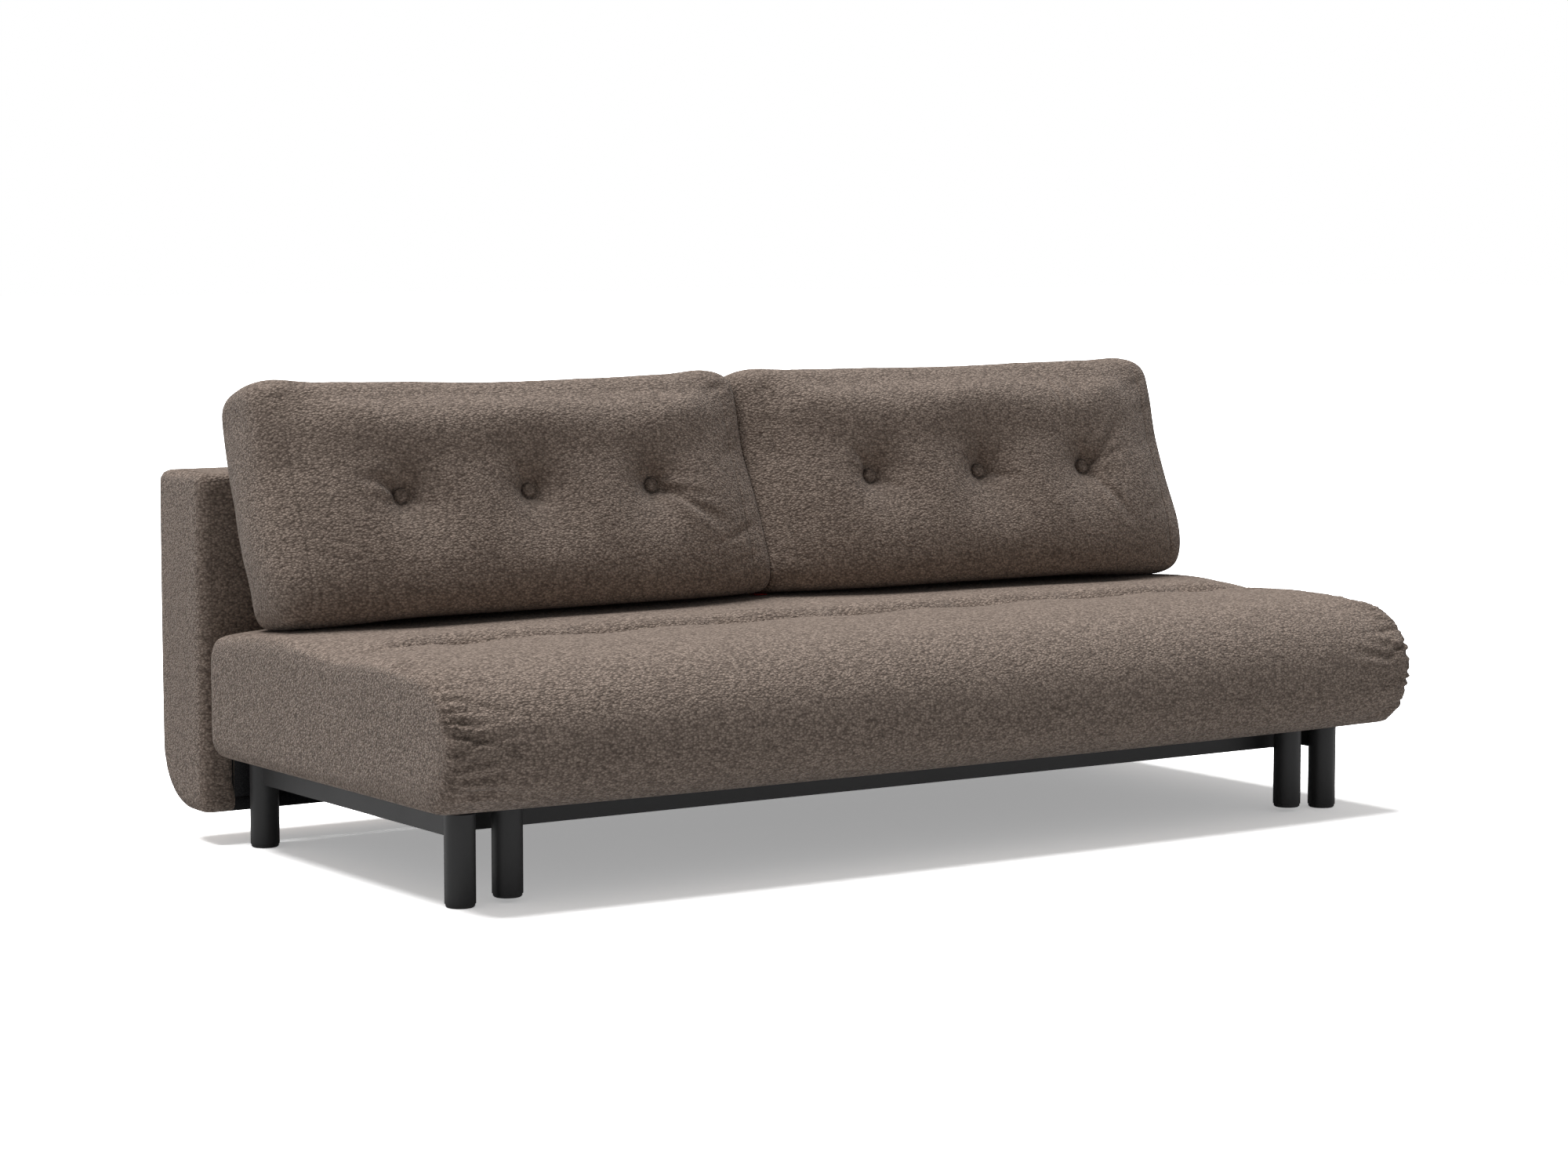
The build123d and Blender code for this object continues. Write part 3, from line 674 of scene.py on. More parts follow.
# %% Back slab
BACK_LOW, BACK_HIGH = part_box("back_upholstery")
LINING_LOW, LINING_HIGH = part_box("back_lining")
BACK_NET, BACK_PASSES = 0.009, 3
BACK_CROWN, FRONT_CROWN = 0.003, 0.0006
BACK_SWELL, BACK_SEED = 0.0007, 23.0
LINING_MARGIN, LINING_DEPTH = 0.02, 0.06


def beside_lining(co):
    """The points round the lining, which stay where they are."""
    tall = (co[:, 2] > LINING_LOW.z - LINING_MARGIN) & (co[:, 2] < LINING_HIGH.z + LINING_MARGIN)
    wide = np.abs(co[:, 0]) < LINING_HIGH.x + LINING_MARGIN
    return tall & wide & (co[:, 1] < BACK_LOW.y + LINING_DEPTH)


def back_slab():
    slab = even_net(copy_solid("back_upholstery", "back_slab"), BACK_NET, BACK_PASSES)
    co, face = points(slab), normals(slab)
    middle = np.array((BACK_LOW + BACK_HIGH) / 2.0)
    half = np.array((BACK_HIGH - BACK_LOW) / 2.0)
    share = np.clip(1.0 - ((co - middle) / half) ** 2, 0.0, 1.0)
    crown = np.abs(face[:, 1]) * np.sqrt(share[:, 0] * share[:, 2])
    crown += np.abs(face[:, 0]) * np.sqrt(share[:, 1] * share[:, 2])
    fuller = (face[:, 1] > 0.0) | (np.abs(face[:, 0]) > 0.7)
    lift = np.where(fuller, BACK_CROWN, FRONT_CROWN) * crown + BACK_SWELL * slow_swell(co, BACK_SEED)
    move_to(slab, co + face * np.where(beside_lining(co), 0.0, lift)[:, None])
    return slab


BACK_SLAB = back_slab()
paint(BACK_SLAB, BOUCLE)
print(BACK_SLAB.name, len(BACK_SLAB.data.polygons), "faces")

# %% [markdown]
# The black lining goes on below its sheet, round the front of the heel. How it is fixed there doesn't
# show. It is too thin to be a piece of its own, so the faces that it covers get its finish, and so do
# the ends of the timber beside it.

# %% Lined faces
RIM = 0.012


def line_faces(obj, lined):
    """Gives some faces of a piece the lining's finish, by their middle and the way they face."""
    obj.data.materials.append(LINING)
    chosen = [face for face in obj.data.polygons if lined(face.center, face.normal)]
    for face in chosen:
        face.material_index = 1
    print(obj.name, len(chosen), "lined faces")


def heel_front(spot, way):
    """Below the lining's sheet, as far as the heel's lowest line."""
    return abs(spot.x) < LINING_HIGH.x and spot.z < LINING_LOW.z + RIM and way.y < 0.0


def timber_end(spot, way):
    """The ends of the frame inside, which show in the gap beside the lining."""
    return abs(spot.x) > LINING_HIGH.x - RIM and abs(way.x) > 0.9


line_faces(BACK_SLAB, heel_front)
for node in ("back_frame_posts", "back_frame_rails"):
    line_faces(NODES[node], timber_end)

# %% [markdown]
# The loose cushions are soft and full. Three covered buttons pull deep dimples into each front, and
# creases run from the buttons to the corners. The buttons and the underside are held while the cover
# is blown up. The creases follow after, because a coarse net would lose them.

# %% Creases round the buttons
LEAN = math.radians(16.0)
CREASE_BOW, CREASE_WIDTH, CREASE_SPREAD = 0.16, 0.006, 0.05
CREASES = {
    "left": [(0, 152.0, 0.115, 0.006), (0, 138.0, 0.09, 0.004), (0, -35.0, 0.07, 0.0025),
             (1, 120.0, 0.07, 0.003), (1, -60.0, 0.06, 0.0025), (2, -38.0, 0.19, 0.006),
             (2, -24.0, 0.15, 0.004), (2, 95.0, 0.06, 0.003)],
    "right": [(0, 125.0, 0.085, 0.004), (0, -40.0, 0.08, 0.003), (1, 88.0, 0.075, 0.004),
              (1, -28.0, 0.09, 0.0035), (2, 32.0, 0.15, 0.0055), (2, 12.0, 0.13, 0.004),
              (2, -62.0, 0.17, 0.004), (2, 100.0, 0.06, 0.0025)],
}


def button_points(side):
    """The middle of each covered button, from its solid."""
    co = points(NODES[f"cushion_buttons_{side}"])
    order = np.argsort(co[:, 0])
    cuts = np.flatnonzero(np.diff(co[order, 0]) > 0.05) + 1
    return [co[group].mean(axis=0) for group in np.split(order, cuts)]


def face_plane(offset):
    """Offsets on the cushion's leaning front: along it, and up it."""
    return offset[:, 0], offset[:, 1] * math.sin(LEAN) + offset[:, 2] * math.cos(LEAN)


def button_creases(co, side, buttons):
    """Creases by button, angle, length and depth."""
    lift = np.zeros(len(co))
    for which, angle, length, depth in CREASES[side]:
        right, up = face_plane(co - buttons[which])
        turn = math.radians(angle)
        along = right * math.cos(turn) + up * math.sin(turn)
        across = up * math.cos(turn) - right * math.sin(turn) - CREASE_BOW * along * along / length
        fade = step(along, 0.004, 0.025) * (1.0 - step(along, 0.35 * length, length))
        lift += depth * fade * fold(across, CREASE_WIDTH + CREASE_SPREAD * np.maximum(along, 0.0))
    return lift


print("creases", sum(len(c) for c in CREASES.values()))

# %% [markdown]
# A seam is a little shorter than the cloth it holds, so small wrinkles start at it. They run in from
# the end seams at a slant, and a few folds hang from the top edge.

# %% Wrinkles by the end seams and the top edge
SEAM_IN, SEAM_DEPTH, SEAM_WIDTH = 0.045, 0.0022, 0.004
END_TUGS, TUG_DEPTH, FAINT_END = 7, 0.003, 0.45
TOP_FOLD_WIDTH, TOP_FOLD_SLANT = 0.006, 0.12
TOP_FOLDS = {
    "left": [(0.8, 0.05, 0.002)],
    "right": [(0.7, 0.1, 0.003), (0.745, 0.085, 0.0025), (0.05, 0.05, 0.002)],
}


def end_distance(co, low, high):
    """How far each point is from the nearer end of its cushion."""
    return np.minimum(co[:, 0] - low.x, high.x - co[:, 0])


def end_tugs(co, low, high, seed):
    """Short slanting wrinkles by the seam at the cushion's right end, and faint ones at the left."""
    inward = end_distance(co, low, high)
    tall = np.where(co[:, 0] > (low.x + high.x) / 2.0, 1.0, FAINT_END)
    path = (co[:, 2] - low.z) / (high.z - low.z) * END_TUGS
    path += inward * 5.0 + 0.5 * slow_noise(co[:, 2] * 17.0, seed)
    index = np.floor(path)
    fade = step(inward, 0.012, 0.04) * (1.0 - step(inward, 0.05, 0.08 + 0.1 * hashed(index, seed + 2.0)))
    wave = bump_at(path - index - 0.5, 0.16)
    return -TUG_DEPTH * tall * fade * wave * (0.3 + 0.7 * hashed(index, seed + 3.0))


def top_folds(co, low, high, side):
    """Short folds down the front from the top edge, each at a share of the length."""
    lift = np.zeros(len(co))
    down = high.z - 0.02 - co[:, 2]
    for share, length, depth in TOP_FOLDS[side]:
        across = co[:, 0] - low.x - share * (high.x - low.x) - TOP_FOLD_SLANT * down
        fade = step(down, -0.01, 0.02) * (1.0 - step(down, 0.3 * length, length))
        lift += depth * fade * fold(across, TOP_FOLD_WIDTH)
    return lift


print("top folds", sum(len(c) for c in TOP_FOLDS.values()))

# %% [markdown]
# A stuffed cushion is never quite level on top. Its ends stand a little higher than its middle, so the
# top is drawn to a line of heights along its length.

# %% Top line and seat contact
TOP_STEPS = 40
TOP_LINES = {
    "left": [(-0.965, 0.799), (-0.93, 0.808), (-0.86, 0.804), (-0.72, 0.8), (-0.52, 0.795), (-0.27, 0.797),
             (-0.1, 0.804), (-0.05, 0.807), (-0.01, 0.799)],
    "right": [(0.01, 0.8), (0.05, 0.806), (0.32, 0.804), (0.5, 0.804), (0.73, 0.807), (0.9, 0.811),
              (0.94, 0.81), (0.965, 0.8)],
}
SEAT_TREE = BVHTree.FromObject(SEAT_PAD, bpy.context.evaluated_depsgraph_get())
SEAT_ROOM = 0.0008


def top_shift(co, side):
    """What the cushion's top lacks to its line, from the highest point at each place along it."""
    places, heights = zip(*TOP_LINES[side])
    edges = np.linspace(min(places), max(places), TOP_STEPS + 1)
    which = np.clip(np.digitize(co[:, 0], edges) - 1, 0, TOP_STEPS - 1)
    ridge = np.zeros(TOP_STEPS)
    np.maximum.at(ridge, which, co[:, 2])
    middles = (edges[:-1] + edges[1:]) / 2.0
    lack = np.interp(middles, places, heights) - ridge
    lack = np.convolve(np.pad(lack, 1, mode="edge"), (0.25, 0.5, 0.25), mode="valid")
    return np.interp(co[:, 0], middles, lack)


def clear_of_seat(co, low):
    """Points that sank into the seat are set back on it."""
    for index in np.flatnonzero(co[:, 2] < low.z + 0.06):
        spot, up, _, _ = SEAT_TREE.find_nearest(Vector(co[index]))
        if (Vector(co[index]) - spot).dot(up) < SEAT_ROOM:
            co[index] = spot + up * SEAT_ROOM
    return co


print("top lines", {side: len(line) for side, line in TOP_LINES.items()})

# %% [markdown]
# Here the cushion comes together: the swelling first, then a fuller top and ends and a soft heel, then
# the creases. Lifting leaves sharp rings round the buttons, so each point is drawn to the mean of its
# neighbours in between.

# %% Back cushions
CUSHION_NET, CUSHION_COARSE = 0.0042, 0.014
CUSHION_PRESSURE, CUSHION_CAP = 3.0, 0.02
DIMPLE_PASSES, EDGE_PASSES, HEEL_PASSES = 120, 45, 120
TOP_FULL, END_FULL, FRONT_FULL, HEEL_DROP = 0.016, 0.01, 0.007, 0.012
CUSHION_SWELL = 0.001
MIDDLE_ROOM, BACK_ROOM, TOP_ROOM = 0.0012, 0.004, 0.018
HELD_ROUND, HELD_UNDER = 0.02, 0.035
CUSHION_SEED, TUG_SEED = 31.0, 41.0
# Each pair is where a change over the cushion starts and where it is full.
FRONT_FACING, END_FACING, CROWN_FACING, HEEL_FACING = (0.15, 0.5), (0.3, 0.9), (-0.1, 0.75), (0.1, 0.6)
DIMPLE_ROUND, DIMPLE_BAND, BUTTON_ROUND = (0.018, 0.06), (0.09, 0.15), (0.015, 0.03)
CROWN_UP, FRONT_UP, LINE_UP = (0.04, 0.19), (0.05, 0.13), (0.02, 0.18)
HEEL_DOWN, HEEL_HEIGHT, END_REACH = (0.1, 0.16), (0.05, 0.12), (0.03, 0.28)


def from_buttons(co, buttons):
    """How far each point is from the nearest button."""
    return np.min([np.linalg.norm(co - b, axis=1) for b in buttons], axis=0)


def full_cushion(pad, co, face, side, buttons, low, high):
    """The blown-up form, smoothed round the dimples, filled up at the top and ends, soft at the heel."""
    front = step(-face[:, 1], *FRONT_FACING)
    _, up = face_plane(points(pad) - buttons[1])
    near = from_buttons(points(pad), buttons)
    ease = 0.5 * front * step(near, *DIMPLE_ROUND) * (1.0 - step(np.abs(up), *DIMPLE_BAND))
    co = relax(pad, co, ease, DIMPLE_PASSES)
    near_end = 1.0 - step(end_distance(co, low, high), *END_REACH)
    full = TOP_FULL * step(face[:, 2], *CROWN_FACING) * step(up, *CROWN_UP)
    full += END_FULL * step(np.abs(face[:, 0]), *END_FACING) * near_end
    full += FRONT_FULL * front * step(up, *FRONT_UP)
    soft = 0.5 * step(from_buttons(co, buttons), *BUTTON_ROUND)
    co = relax(pad, co + face * full[:, None], soft, EDGE_PASSES)
    co[:, 2] += top_shift(co, side) * step(up, *LINE_UP)
    outer = 1.0 - step(high.x - co[:, 0] if side == "right" else co[:, 0] - low.x, *END_REACH)
    co[:, 2] -= HEEL_DROP * outer * step(-face[:, 2], *HEEL_FACING) * step(-up, *HEEL_DOWN)
    heel = outer * (1.0 - step(co[:, 2] - low.z, *HEEL_HEIGHT))
    return relax(pad, co, 0.5 * heel, HEEL_PASSES), front


def cushion(side, sign):
    node = f"back_cushion_{side}"
    low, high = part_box(node)
    pad = even_net(copy_solid(node, f"loose_cushion_{side}"), CUSHION_NET, NET_PASSES)
    buttons = button_points(side)

    def held(co, face):
        under = (face[:, 2] < -0.55) & (co[:, 2] < low.z + HELD_UNDER)
        return under | (from_buttons(co, buttons) < HELD_ROUND)

    co, face = points(pad), normals(pad)
    co += carry(*swelling(node, CUSHION_COARSE, held, CUSHION_PRESSURE, CUSHION_CAP), co)
    co, front = full_cushion(pad, co, face, side, buttons, low, high)
    move_to(pad, co)
    face = normals(pad)
    lift = button_creases(co, side, buttons) + end_tugs(co, low, high, TUG_SEED + sign)
    lift = front * (lift + top_folds(co, low, high, side))
    lift += CUSHION_SWELL * slow_swell(co, CUSHION_SEED + sign)
    seam = end_distance(co, low, high) - SEAM_IN
    lift -= SEAM_DEPTH * bump_at(seam, SEAM_WIDTH) * step(-face[:, 1], -0.2, 0.2)
    co += face * lift[:, None]
    co[:, 0] = sign * np.maximum(sign * co[:, 0], MIDDLE_ROOM)
    co[:, 1] = np.minimum(co[:, 1], BACK_LOW.y - BACK_ROOM)
    co[:, 2] = np.minimum(co[:, 2], high.z + TOP_ROOM)
    move_to(pad, clear_of_seat(co, low))
    return pad


CUSHIONS = {side: cushion(side, sign) for side, sign in (("left", -1), ("right", 1))}
for pad in CUSHIONS.values():
    paint(pad, BOUCLE)
    print(pad.name, len(pad.data.polygons), "faces")

# %% [markdown]
# Thin pieces are made directly. The lining under the seat and on the back is stretched flat cloth, so
# each is a grid with a faint ripple and a little thickness. The webbing pull lies on the seat and
# turns down behind it, so its path is found by casting rays onto the finished pad.

# %% Lining sheets
COVER_LOW, COVER_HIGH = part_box("seat_under_cover")
COVER_SIZE = COVER_HIGH - COVER_LOW
LINING_SIZE = LINING_HIGH - LINING_LOW
COVER_RIPPLE, COVER_THICKNESS = 0.00015, 0.0006
LINING_RIPPLE, LINING_THICKNESS = 0.0004, 0.0009


def thicken(obj, thickness):
    wall = obj.modifiers.new("wall", "SOLIDIFY")
    wall.thickness = thickness
    wall.offset = 0.0
    return bake(obj)


def grid(name, columns, rows, place):
    """A grid of squares; place gives the point for shares from 0 to 1 both ways."""
    verts = [place(i / columns, j / rows) for j in range(rows + 1) for i in range(columns + 1)]
    wide = columns + 1
    faces = [(j * wide + i, j * wide + i + 1, (j + 1) * wide + i + 1, (j + 1) * wide + i)
             for j in range(rows) for i in range(columns)]
    mesh = bpy.data.meshes.new(name)
    mesh.from_pydata(verts, [], faces)
    obj = bpy.data.objects.new(name, mesh)
    SCENE.collection.objects.link(obj)
    return obj


def ripple(u, v):
    """Slack in stretched cloth, from -1 to 1."""
    return math.sin(23.0 * u + 3.0 * math.sin(9.0 * v)) * math.sin(17.0 * v)


def under_cover_point(u, v):
    height = (COVER_LOW.z + COVER_HIGH.z) / 2.0 + COVER_RIPPLE * ripple(u, v)
    return (COVER_LOW.x + u * COVER_SIZE.x, COVER_LOW.y + v * COVER_SIZE.y, height)


def back_lining_point(u, v):
    depth = (LINING_LOW.y + LINING_HIGH.y) / 2.0 + LINING_RIPPLE * ripple(u, v)
    return (LINING_LOW.x + u * LINING_SIZE.x, depth, LINING_LOW.z + v * LINING_SIZE.z)


UNDER_COVER = thicken(grid("under_cover_cloth", 90, 40, under_cover_point), COVER_THICKNESS)
BACK_LINING = thicken(grid("back_lining_cloth", 90, 20, back_lining_point), LINING_THICKNESS)
for sheet in (UNDER_COVER, BACK_LINING):
    paint(sheet, LINING)
print("linings", UNDER_COVER.name, BACK_LINING.name)

# %% Webbing pull
STRAP_LOW, STRAP_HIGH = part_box("pull_strap")
STRAP_WIDTH = STRAP_HIGH.x - STRAP_LOW.x
STRAP_STEPS = 48
STRAP_THICKNESS, STRAP_LIFT = 0.0014, 0.0014
STRAP_INSET, STRAP_BELOW, STRAP_REACH = 0.09, 0.01, 0.6


def strap_path():
    """Points just over the seat, from the strap's free end to its fixed end behind."""
    middle = Vector((0.0, SEAT_HIGH.y - STRAP_INSET, STRAP_LOW.z - STRAP_BELOW))
    first = math.atan2(STRAP_HIGH.z - middle.z, STRAP_LOW.y - middle.y)
    last = math.atan2(STRAP_LOW.z - middle.z, STRAP_HIGH.y - middle.y)
    path = []
    for number in range(STRAP_STEPS + 1):
        turn = first + (last - first) * number / STRAP_STEPS
        way = Vector((0.0, math.cos(turn), math.sin(turn)))
        spot, out, _, _ = SEAT_TREE.ray_cast(middle + way * STRAP_REACH, -way)
        path.append(spot + out * STRAP_LIFT)
    return path


STRAP_PATH = strap_path()


def strap_point(u, v):
    spot = STRAP_PATH[round(v * STRAP_STEPS)]
    return ((u - 0.5) * STRAP_WIDTH, spot.y, spot.z)


STRAP = thicken(grid("webbing_pull", 6, STRAP_STEPS, strap_point), STRAP_THICKNESS)
paint(STRAP, WEBBING)

# %% [markdown]
# Rows of small things are made by Geometry Nodes: one tree walks along a path and sets down a stitch
# at every step, another sets a screw on each point it is given. The tree ends by making the copies
# real and giving them their finish, so that the result is a plain mesh.

# %% Start and end of a tree


def named_input(tree, label, kind, value):
    tree.interface.new_socket(label, in_out="INPUT", socket_type=kind)
    found = [item for item in tree.interface.items_tree if item.name == label and item.in_out == "INPUT"]
    if value is not None:
        found[0].default_value = value
    return found[0].identifier


def start_tree(name):
    tree = bpy.data.node_groups.new(name, "GeometryNodeTree")
    tree.interface.new_socket("Geometry", in_out="INPUT", socket_type="NodeSocketGeometry")
    tree.interface.new_socket("Geometry", in_out="OUTPUT", socket_type="NodeSocketGeometry")
    return tree, tree.nodes.new("NodeGroupInput"), tree.nodes.new("NodeGroupOutput")


def end_tree(tree, outside, instances, material):
    real = tree.nodes.new("GeometryNodeRealizeInstances")
    finish = tree.nodes.new("GeometryNodeSetMaterial")
    finish.inputs["Material"].default_value = material
    tree.links.new(instances, real.inputs["Geometry"])
    tree.links.new(real.outputs[0], finish.inputs["Geometry"])
    tree.links.new(finish.outputs[0], outside.inputs["Geometry"])


print("tree tools ready")

# %% Stitch tree
THREAD = cloth("taupe_thread", (0.11, 0.085, 0.07), (0.3, 0.24, 0.2), 1500.0, 0.3, 0.1)


def stitch_tree(name, material):
    """A row of short round stitches along every path in the mesh."""
    tree, inside, outside = start_tree(name)
    keys = {label: named_input(tree, label, "NodeSocketFloat", value)
            for label, value in (("Pitch", 0.008), ("Stitch Length", 0.0055), ("Thread Radius", 0.0006))}
    curve = tree.nodes.new("GeometryNodeMeshToCurve")
    spots = tree.nodes.new("GeometryNodeCurveToPoints")
    spots.mode = "LENGTH"
    thread = tree.nodes.new("GeometryNodeMeshCylinder")
    thread.inputs["Vertices"].default_value = 6
    place = tree.nodes.new("GeometryNodeInstanceOnPoints")
    tree.links.new(inside.outputs["Geometry"], curve.inputs[0])
    tree.links.new(curve.outputs[0], spots.inputs[0])
    tree.links.new(inside.outputs["Pitch"], spots.inputs["Length"])
    tree.links.new(inside.outputs["Stitch Length"], thread.inputs["Depth"])
    tree.links.new(inside.outputs["Thread Radius"], thread.inputs["Radius"])
    tree.links.new(spots.outputs["Points"], place.inputs["Points"])
    tree.links.new(spots.outputs["Rotation"], place.inputs["Rotation"])
    tree.links.new(thread.outputs["Mesh"], place.inputs["Instance"])
    end_tree(tree, outside, place.outputs[0], material)
    return tree, keys


STITCHES, STITCH_KEYS = stitch_tree("stitch_row", THREAD)
print("tree", STITCHES.name)

# %% Screw tree


def screw_tree(name, material):
    """A shallow domed screw head on every point, turned to face one way."""
    tree, inside, outside = start_tree(name)
    keys = {"Head Radius": named_input(tree, "Head Radius", "NodeSocketFloat", 0.004),
            "Head Height": named_input(tree, "Head Height", "NodeSocketFloat", 0.0022),
            "Turn": named_input(tree, "Turn", "NodeSocketVector", None)}
    head = tree.nodes.new("GeometryNodeMeshCone")
    head.inputs["Vertices"].default_value = 16
    inner = tree.nodes.new("ShaderNodeMath")
    inner.operation = "MULTIPLY"
    inner.inputs[1].default_value = 0.62
    place = tree.nodes.new("GeometryNodeInstanceOnPoints")
    tree.links.new(inside.outputs["Head Radius"], inner.inputs[0])
    tree.links.new(inner.outputs[0], head.inputs["Radius Top"])
    tree.links.new(inside.outputs["Head Radius"], head.inputs["Radius Bottom"])
    tree.links.new(inside.outputs["Head Height"], head.inputs["Depth"])
    tree.links.new(inside.outputs["Geometry"], place.inputs["Points"])
    tree.links.new(head.outputs["Mesh"], place.inputs["Instance"])
    tree.links.new(inside.outputs["Turn"], place.inputs["Rotation"])
    end_tree(tree, outside, place.outputs[0], material)
    return tree, keys


SCREWS, SCREW_KEYS = screw_tree("screw_heads", ZINC)
print("tree", SCREWS.name)

# %% Growing a tree into a mesh


def grow(name, verts, edges, tree, keys, **values):
    """Runs a tree on loose points or paths and keeps the result as a plain mesh."""
    mesh = bpy.data.meshes.new(name)
    mesh.from_pydata([tuple(v) for v in verts], edges, [])
    obj = bpy.data.objects.new(name, mesh)
    SCENE.collection.objects.link(obj)
    rule = obj.modifiers.new("rule", "NODES")
    rule.node_group = tree
    for label, value in values.items():
        rule[keys[label.replace("_", " ").title()]] = value
    bake(obj)
    print(name, len(obj.data.polygons), "faces")
    return obj


print("inputs", list(STITCH_KEYS), list(SCREW_KEYS))

# %% [markdown]
# The end panels are sewn on, and a line of thread shows along each seam. Rays cast inwards from a ring
# find the path on the finished cover, so that the thread lies on it.

# %% Seams
RING_STEPS, RING_REACH = 180, 0.9
THREAD_LIFT = 0.0002
SEAT_SEAM_IN, BACK_SEAM_IN = 0.014, 0.02
SEAT_ARC, BACK_ARC, CUSHION_ARC = (60.0, 235.0), (-80.0, 250.0), (95.0, 235.0)
BACK_MIDDLE = (BACK_LOW + BACK_HIGH) / 2.0


def ring(obj, x, middle, first, last):
    """Points on a piece where a plane across the length cuts it, between two angles."""
    tree = BVHTree.FromObject(obj, bpy.context.evaluated_depsgraph_get())
    found = []
    for number in range(RING_STEPS + 1):
        turn = math.radians(first + (last - first) * number / RING_STEPS)
        way = Vector((0.0, math.cos(turn), math.sin(turn)))
        spot, out, _, _ = tree.ray_cast(Vector((x, middle.y, middle.z)) + way * RING_REACH, -way)
        if spot is not None:
            found.append(spot + out * THREAD_LIFT)
    return found


def seam(name, rows, body):
    """One mesh of stitches for all the rows that ride on a body."""
    verts, edges = [], []
    for row in rows:
        start = len(verts)
        verts += row
        edges += [(start + i, start + i + 1) for i in range(len(row) - 1)]
    made = grow(name, verts, edges, STITCHES, STITCH_KEYS)
    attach(made, body)
    return made


SEAT_ENDS = [sign * (HALF - SEAT_SEAM_IN) for sign in (-1, 1)]
BACK_ENDS = [sign * (BACK_HIGH.x - BACK_SEAM_IN) for sign in (-1, 1)]
seam("seat_end_stitches", [ring(SEAT_PAD, x, ROLL_MIDDLE, *SEAT_ARC) for x in SEAT_ENDS], "seat")
seam("back_end_stitches", [ring(BACK_SLAB, x, BACK_MIDDLE, *BACK_ARC) for x in BACK_ENDS], "backrest")
for side, pad in CUSHIONS.items():
    low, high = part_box(f"back_cushion_{side}")
    middle = (low + high) / 2.0
    rows = [ring(pad, x, middle, *CUSHION_ARC) for x in (low.x + SEAM_IN, high.x - SEAM_IN)]
    seam(f"cushion_{side}_stitches", rows, f"cushion_{side}")

# %% [markdown]
# The brackets and the leg plates are screwed to the timber. The zinc heads hardly show on the made-up
# sofa, but they catch the light when the bed is open.

# %% Screws
PLATE_INSET, LEAF_INSET, LEAF_LIFT = 0.007, 0.012, 0.0025


def plate_screws(side):
    low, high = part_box(f"leg_plate_{side}")
    xs = (low.x + PLATE_INSET, high.x - PLATE_INSET)
    ys = (low.y + PLATE_INSET, high.y - PLATE_INSET)
    return [Vector((x, y, low.z)) for x in xs for y in ys]


def leaf_screws(node):
    """Two screws on the wide part of a bracket that is fixed to the front of the back."""
    low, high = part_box(node)
    outer = 1.0 if high.x > 0 else -1.0
    x = (high.x if outer > 0 else low.x) - outer * LEAF_INSET
    face = BACK_LOW.y - LEAF_LIFT
    return [Vector((x, face, low.z + LEAF_INSET)), Vector((x, face, high.z - LEAF_INSET))]


def screws(name, spots, body, turn):
    made = grow(name, spots, [], SCREWS, SCREW_KEYS, turn=turn)
    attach(made, body)


screws("leg_plate_screws", plate_screws("left") + plate_screws("right"), "seat", (math.pi, 0.0, 0.0))
LEAVES = [f"{kind}_{side}" for kind in ("hinge_leaf", "link_bracket") for side in ("left", "right")]
screws("bracket_screws", [spot for leaf in LEAVES for spot in leaf_screws(leaf)], "backrest",
       (math.pi / 2.0, 0.0, 0.0))

# %% [markdown]
# Each piece is told which body it moves with, and the solid that it stands for is hidden. Smooth shading
# goes on last, so that the nets read as cloth.

# %% Ride and replace


def settle(obj, body, node):
    for polygon in obj.data.polygons:
        polygon.use_smooth = True
    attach(obj, body)
    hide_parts(node)


settle(SEAT_PAD, "seat", "seat_cushion")
settle(BACK_SLAB, "backrest", "back_upholstery")
settle(UNDER_COVER, "seat", "seat_under_cover")
settle(BACK_LINING, "backrest", "back_lining")
settle(STRAP, "seat", "pull_strap")
for side, pad in CUSHIONS.items():
    settle(pad, f"cushion_{side}", f"back_cushion_{side}")
print("declared", len(CUSHIONS) + 5, "soft pieces")

# %% [markdown]
# The studio is plain: a pale floor, a soft light almost overhead and an even sky. Floor and sky look
# white to the camera and in mirroring metal, and darker to everything else, so that the cloth's front
# isn't lit from below.

# %% Floor and sky
FLOOR_GREY = (0.5, 0.5, 0.5)
FLOOR_SEEN = (3.0, 3.0, 3.0)
FLOOR_MIRRORED = (0.9, 0.9, 0.9)
FLOOR_GLOW = (0.33, 0.33, 0.33)
FLOOR_SPAN = 120.0
SKY_LIGHT, SKY_SHOWN = 0.12, 0.88


def background_rays(tree):
    """Rays from the camera, and rays that metal mirrors or glass lets through."""
    rays = add(tree, "ShaderNodeLightPath")
    through = maths(tree, "MAXIMUM", rays.outputs["Is Glossy Ray"], rays.outputs["Is Transmission Ray"])
    return rays.outputs["Is Camera Ray"], through


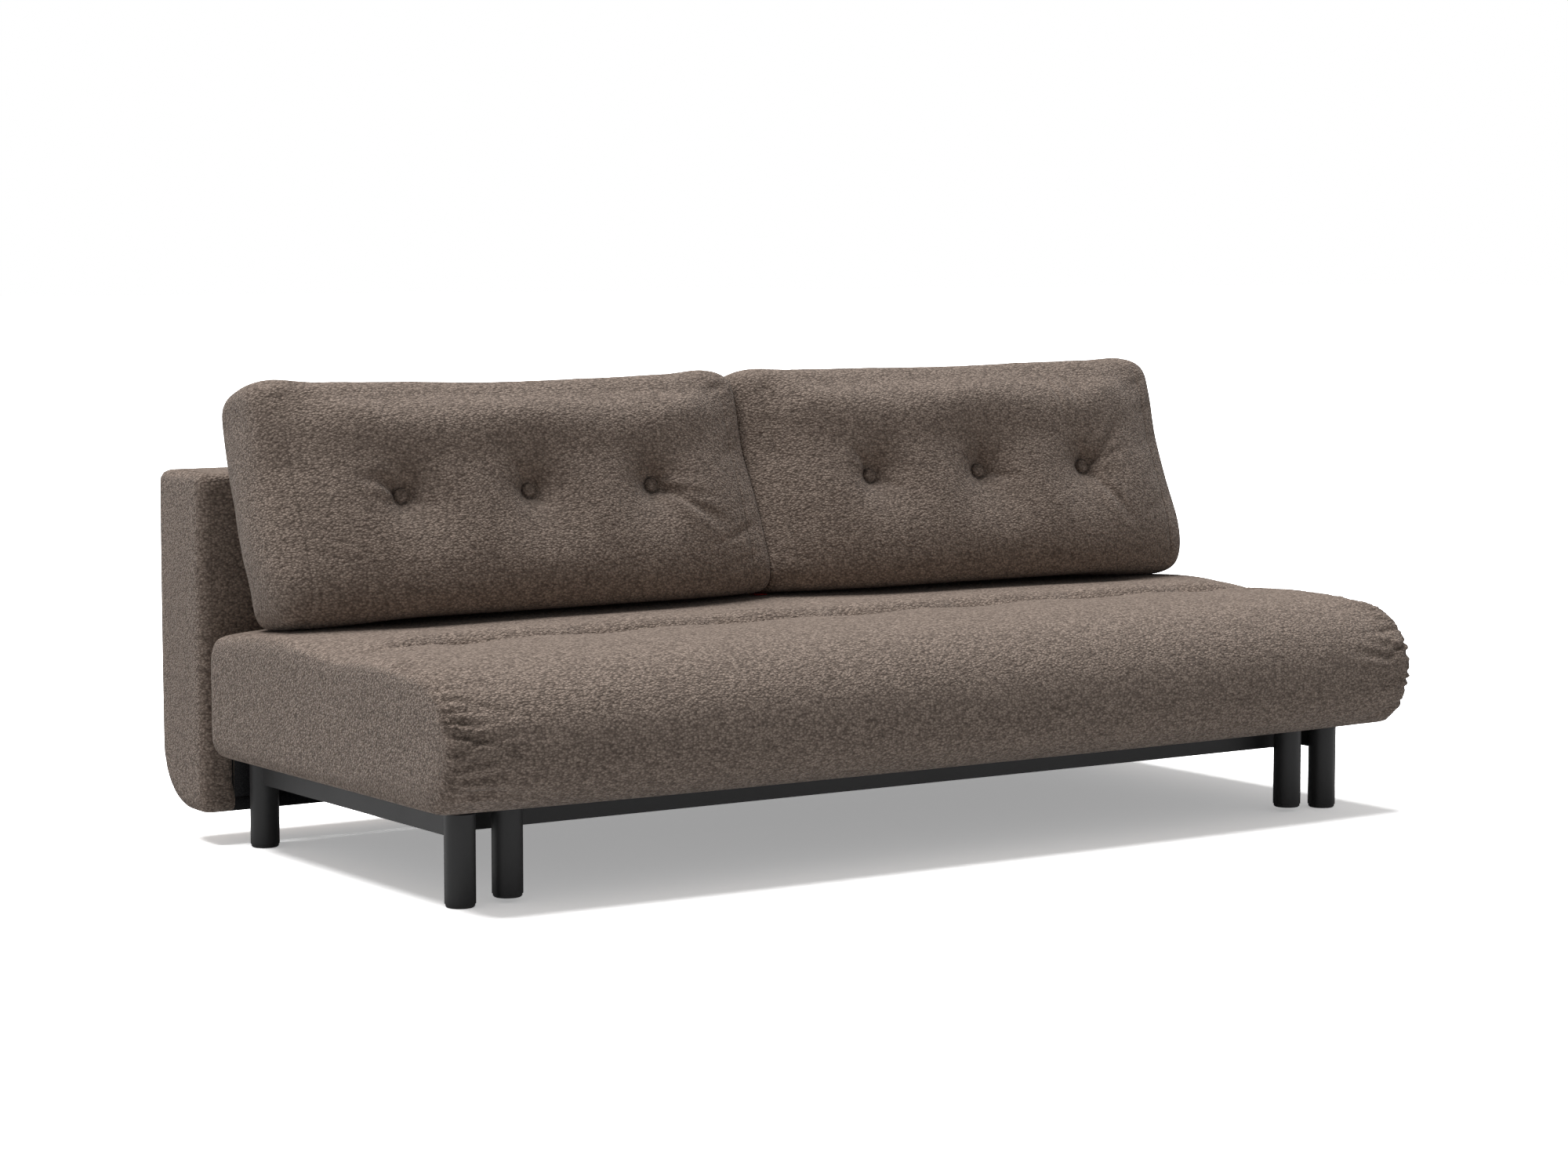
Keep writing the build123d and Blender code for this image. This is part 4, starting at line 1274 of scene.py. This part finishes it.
def studio_floor():
    floor = grid("studio_floor", 1, 1, lambda u, v: ((u - 0.5) * FLOOR_SPAN, (v - 0.5) * FLOOR_SPAN, 0.0))
    material, tree, shader = new_material("pale_floor", roughness=1.0, specular_ior_level=0.0)
    shader.inputs["Emission Strength"].default_value = 1.0
    seen, mirrored = background_rays(tree)
    plain = mix_colour(tree, mirrored, FLOOR_GREY, FLOOR_MIRRORED)
    tree.links.new(mix_colour(tree, seen, plain, FLOOR_SEEN), shader.inputs["Base Color"])
    tree.links.new(mix_colour(tree, seen, (0.0, 0.0, 0.0), FLOOR_GLOW), shader.inputs["Emission Color"])
    paint(floor, material)


def studio_world():
    world = bpy.data.worlds.new("studio_sky")
    SCENE.world = world
    world.use_nodes = True
    tree = world.node_tree
    sky = tree.nodes["Background"]
    level = maths(tree, "MULTIPLY", maths(tree, "MAXIMUM", *background_rays(tree)), SKY_SHOWN)
    sky.inputs["Color"].default_value = (1.0, 1.0, 1.0, 1.0)
    tree.links.new(maths(tree, "ADD", level, SKY_LIGHT), sky.inputs["Strength"])


studio_floor()
studio_world()
print("floor and sky ready")

# %% Light and camera
SUN_ENERGY, SUN_ANGLE, SUN_TURN = 3.3, 36.0, (-9.0, -11.0, 0.0)
CAMERA_PLACE = (-3.6344, -5.3058, 1.0383)
CAMERA_TURN = (84.548, 0.0, -34.103)
LENS, SENSOR = 83.27, 36.0


def studio_sun():
    sun = bpy.data.lights.new("overhead_softbox", "SUN")
    sun.energy = SUN_ENERGY
    sun.angle = math.radians(SUN_ANGLE)
    lamp = bpy.data.objects.new("overhead_softbox", sun)
    lamp.rotation_euler = [math.radians(a) for a in SUN_TURN]
    SCENE.collection.objects.link(lamp)


def photo_camera():
    view = bpy.data.cameras.new("photo_view")
    view.lens = LENS
    view.sensor_width = SENSOR
    holder = bpy.data.objects.new("photo_view", view)
    holder.location = CAMERA_PLACE
    holder.rotation_euler = [math.radians(a) for a in CAMERA_TURN]
    SCENE.collection.objects.link(holder)
    SCENE.camera = holder


studio_sun()
photo_camera()
SCENE.view_settings.view_transform = "Standard"
print("light and camera ready")
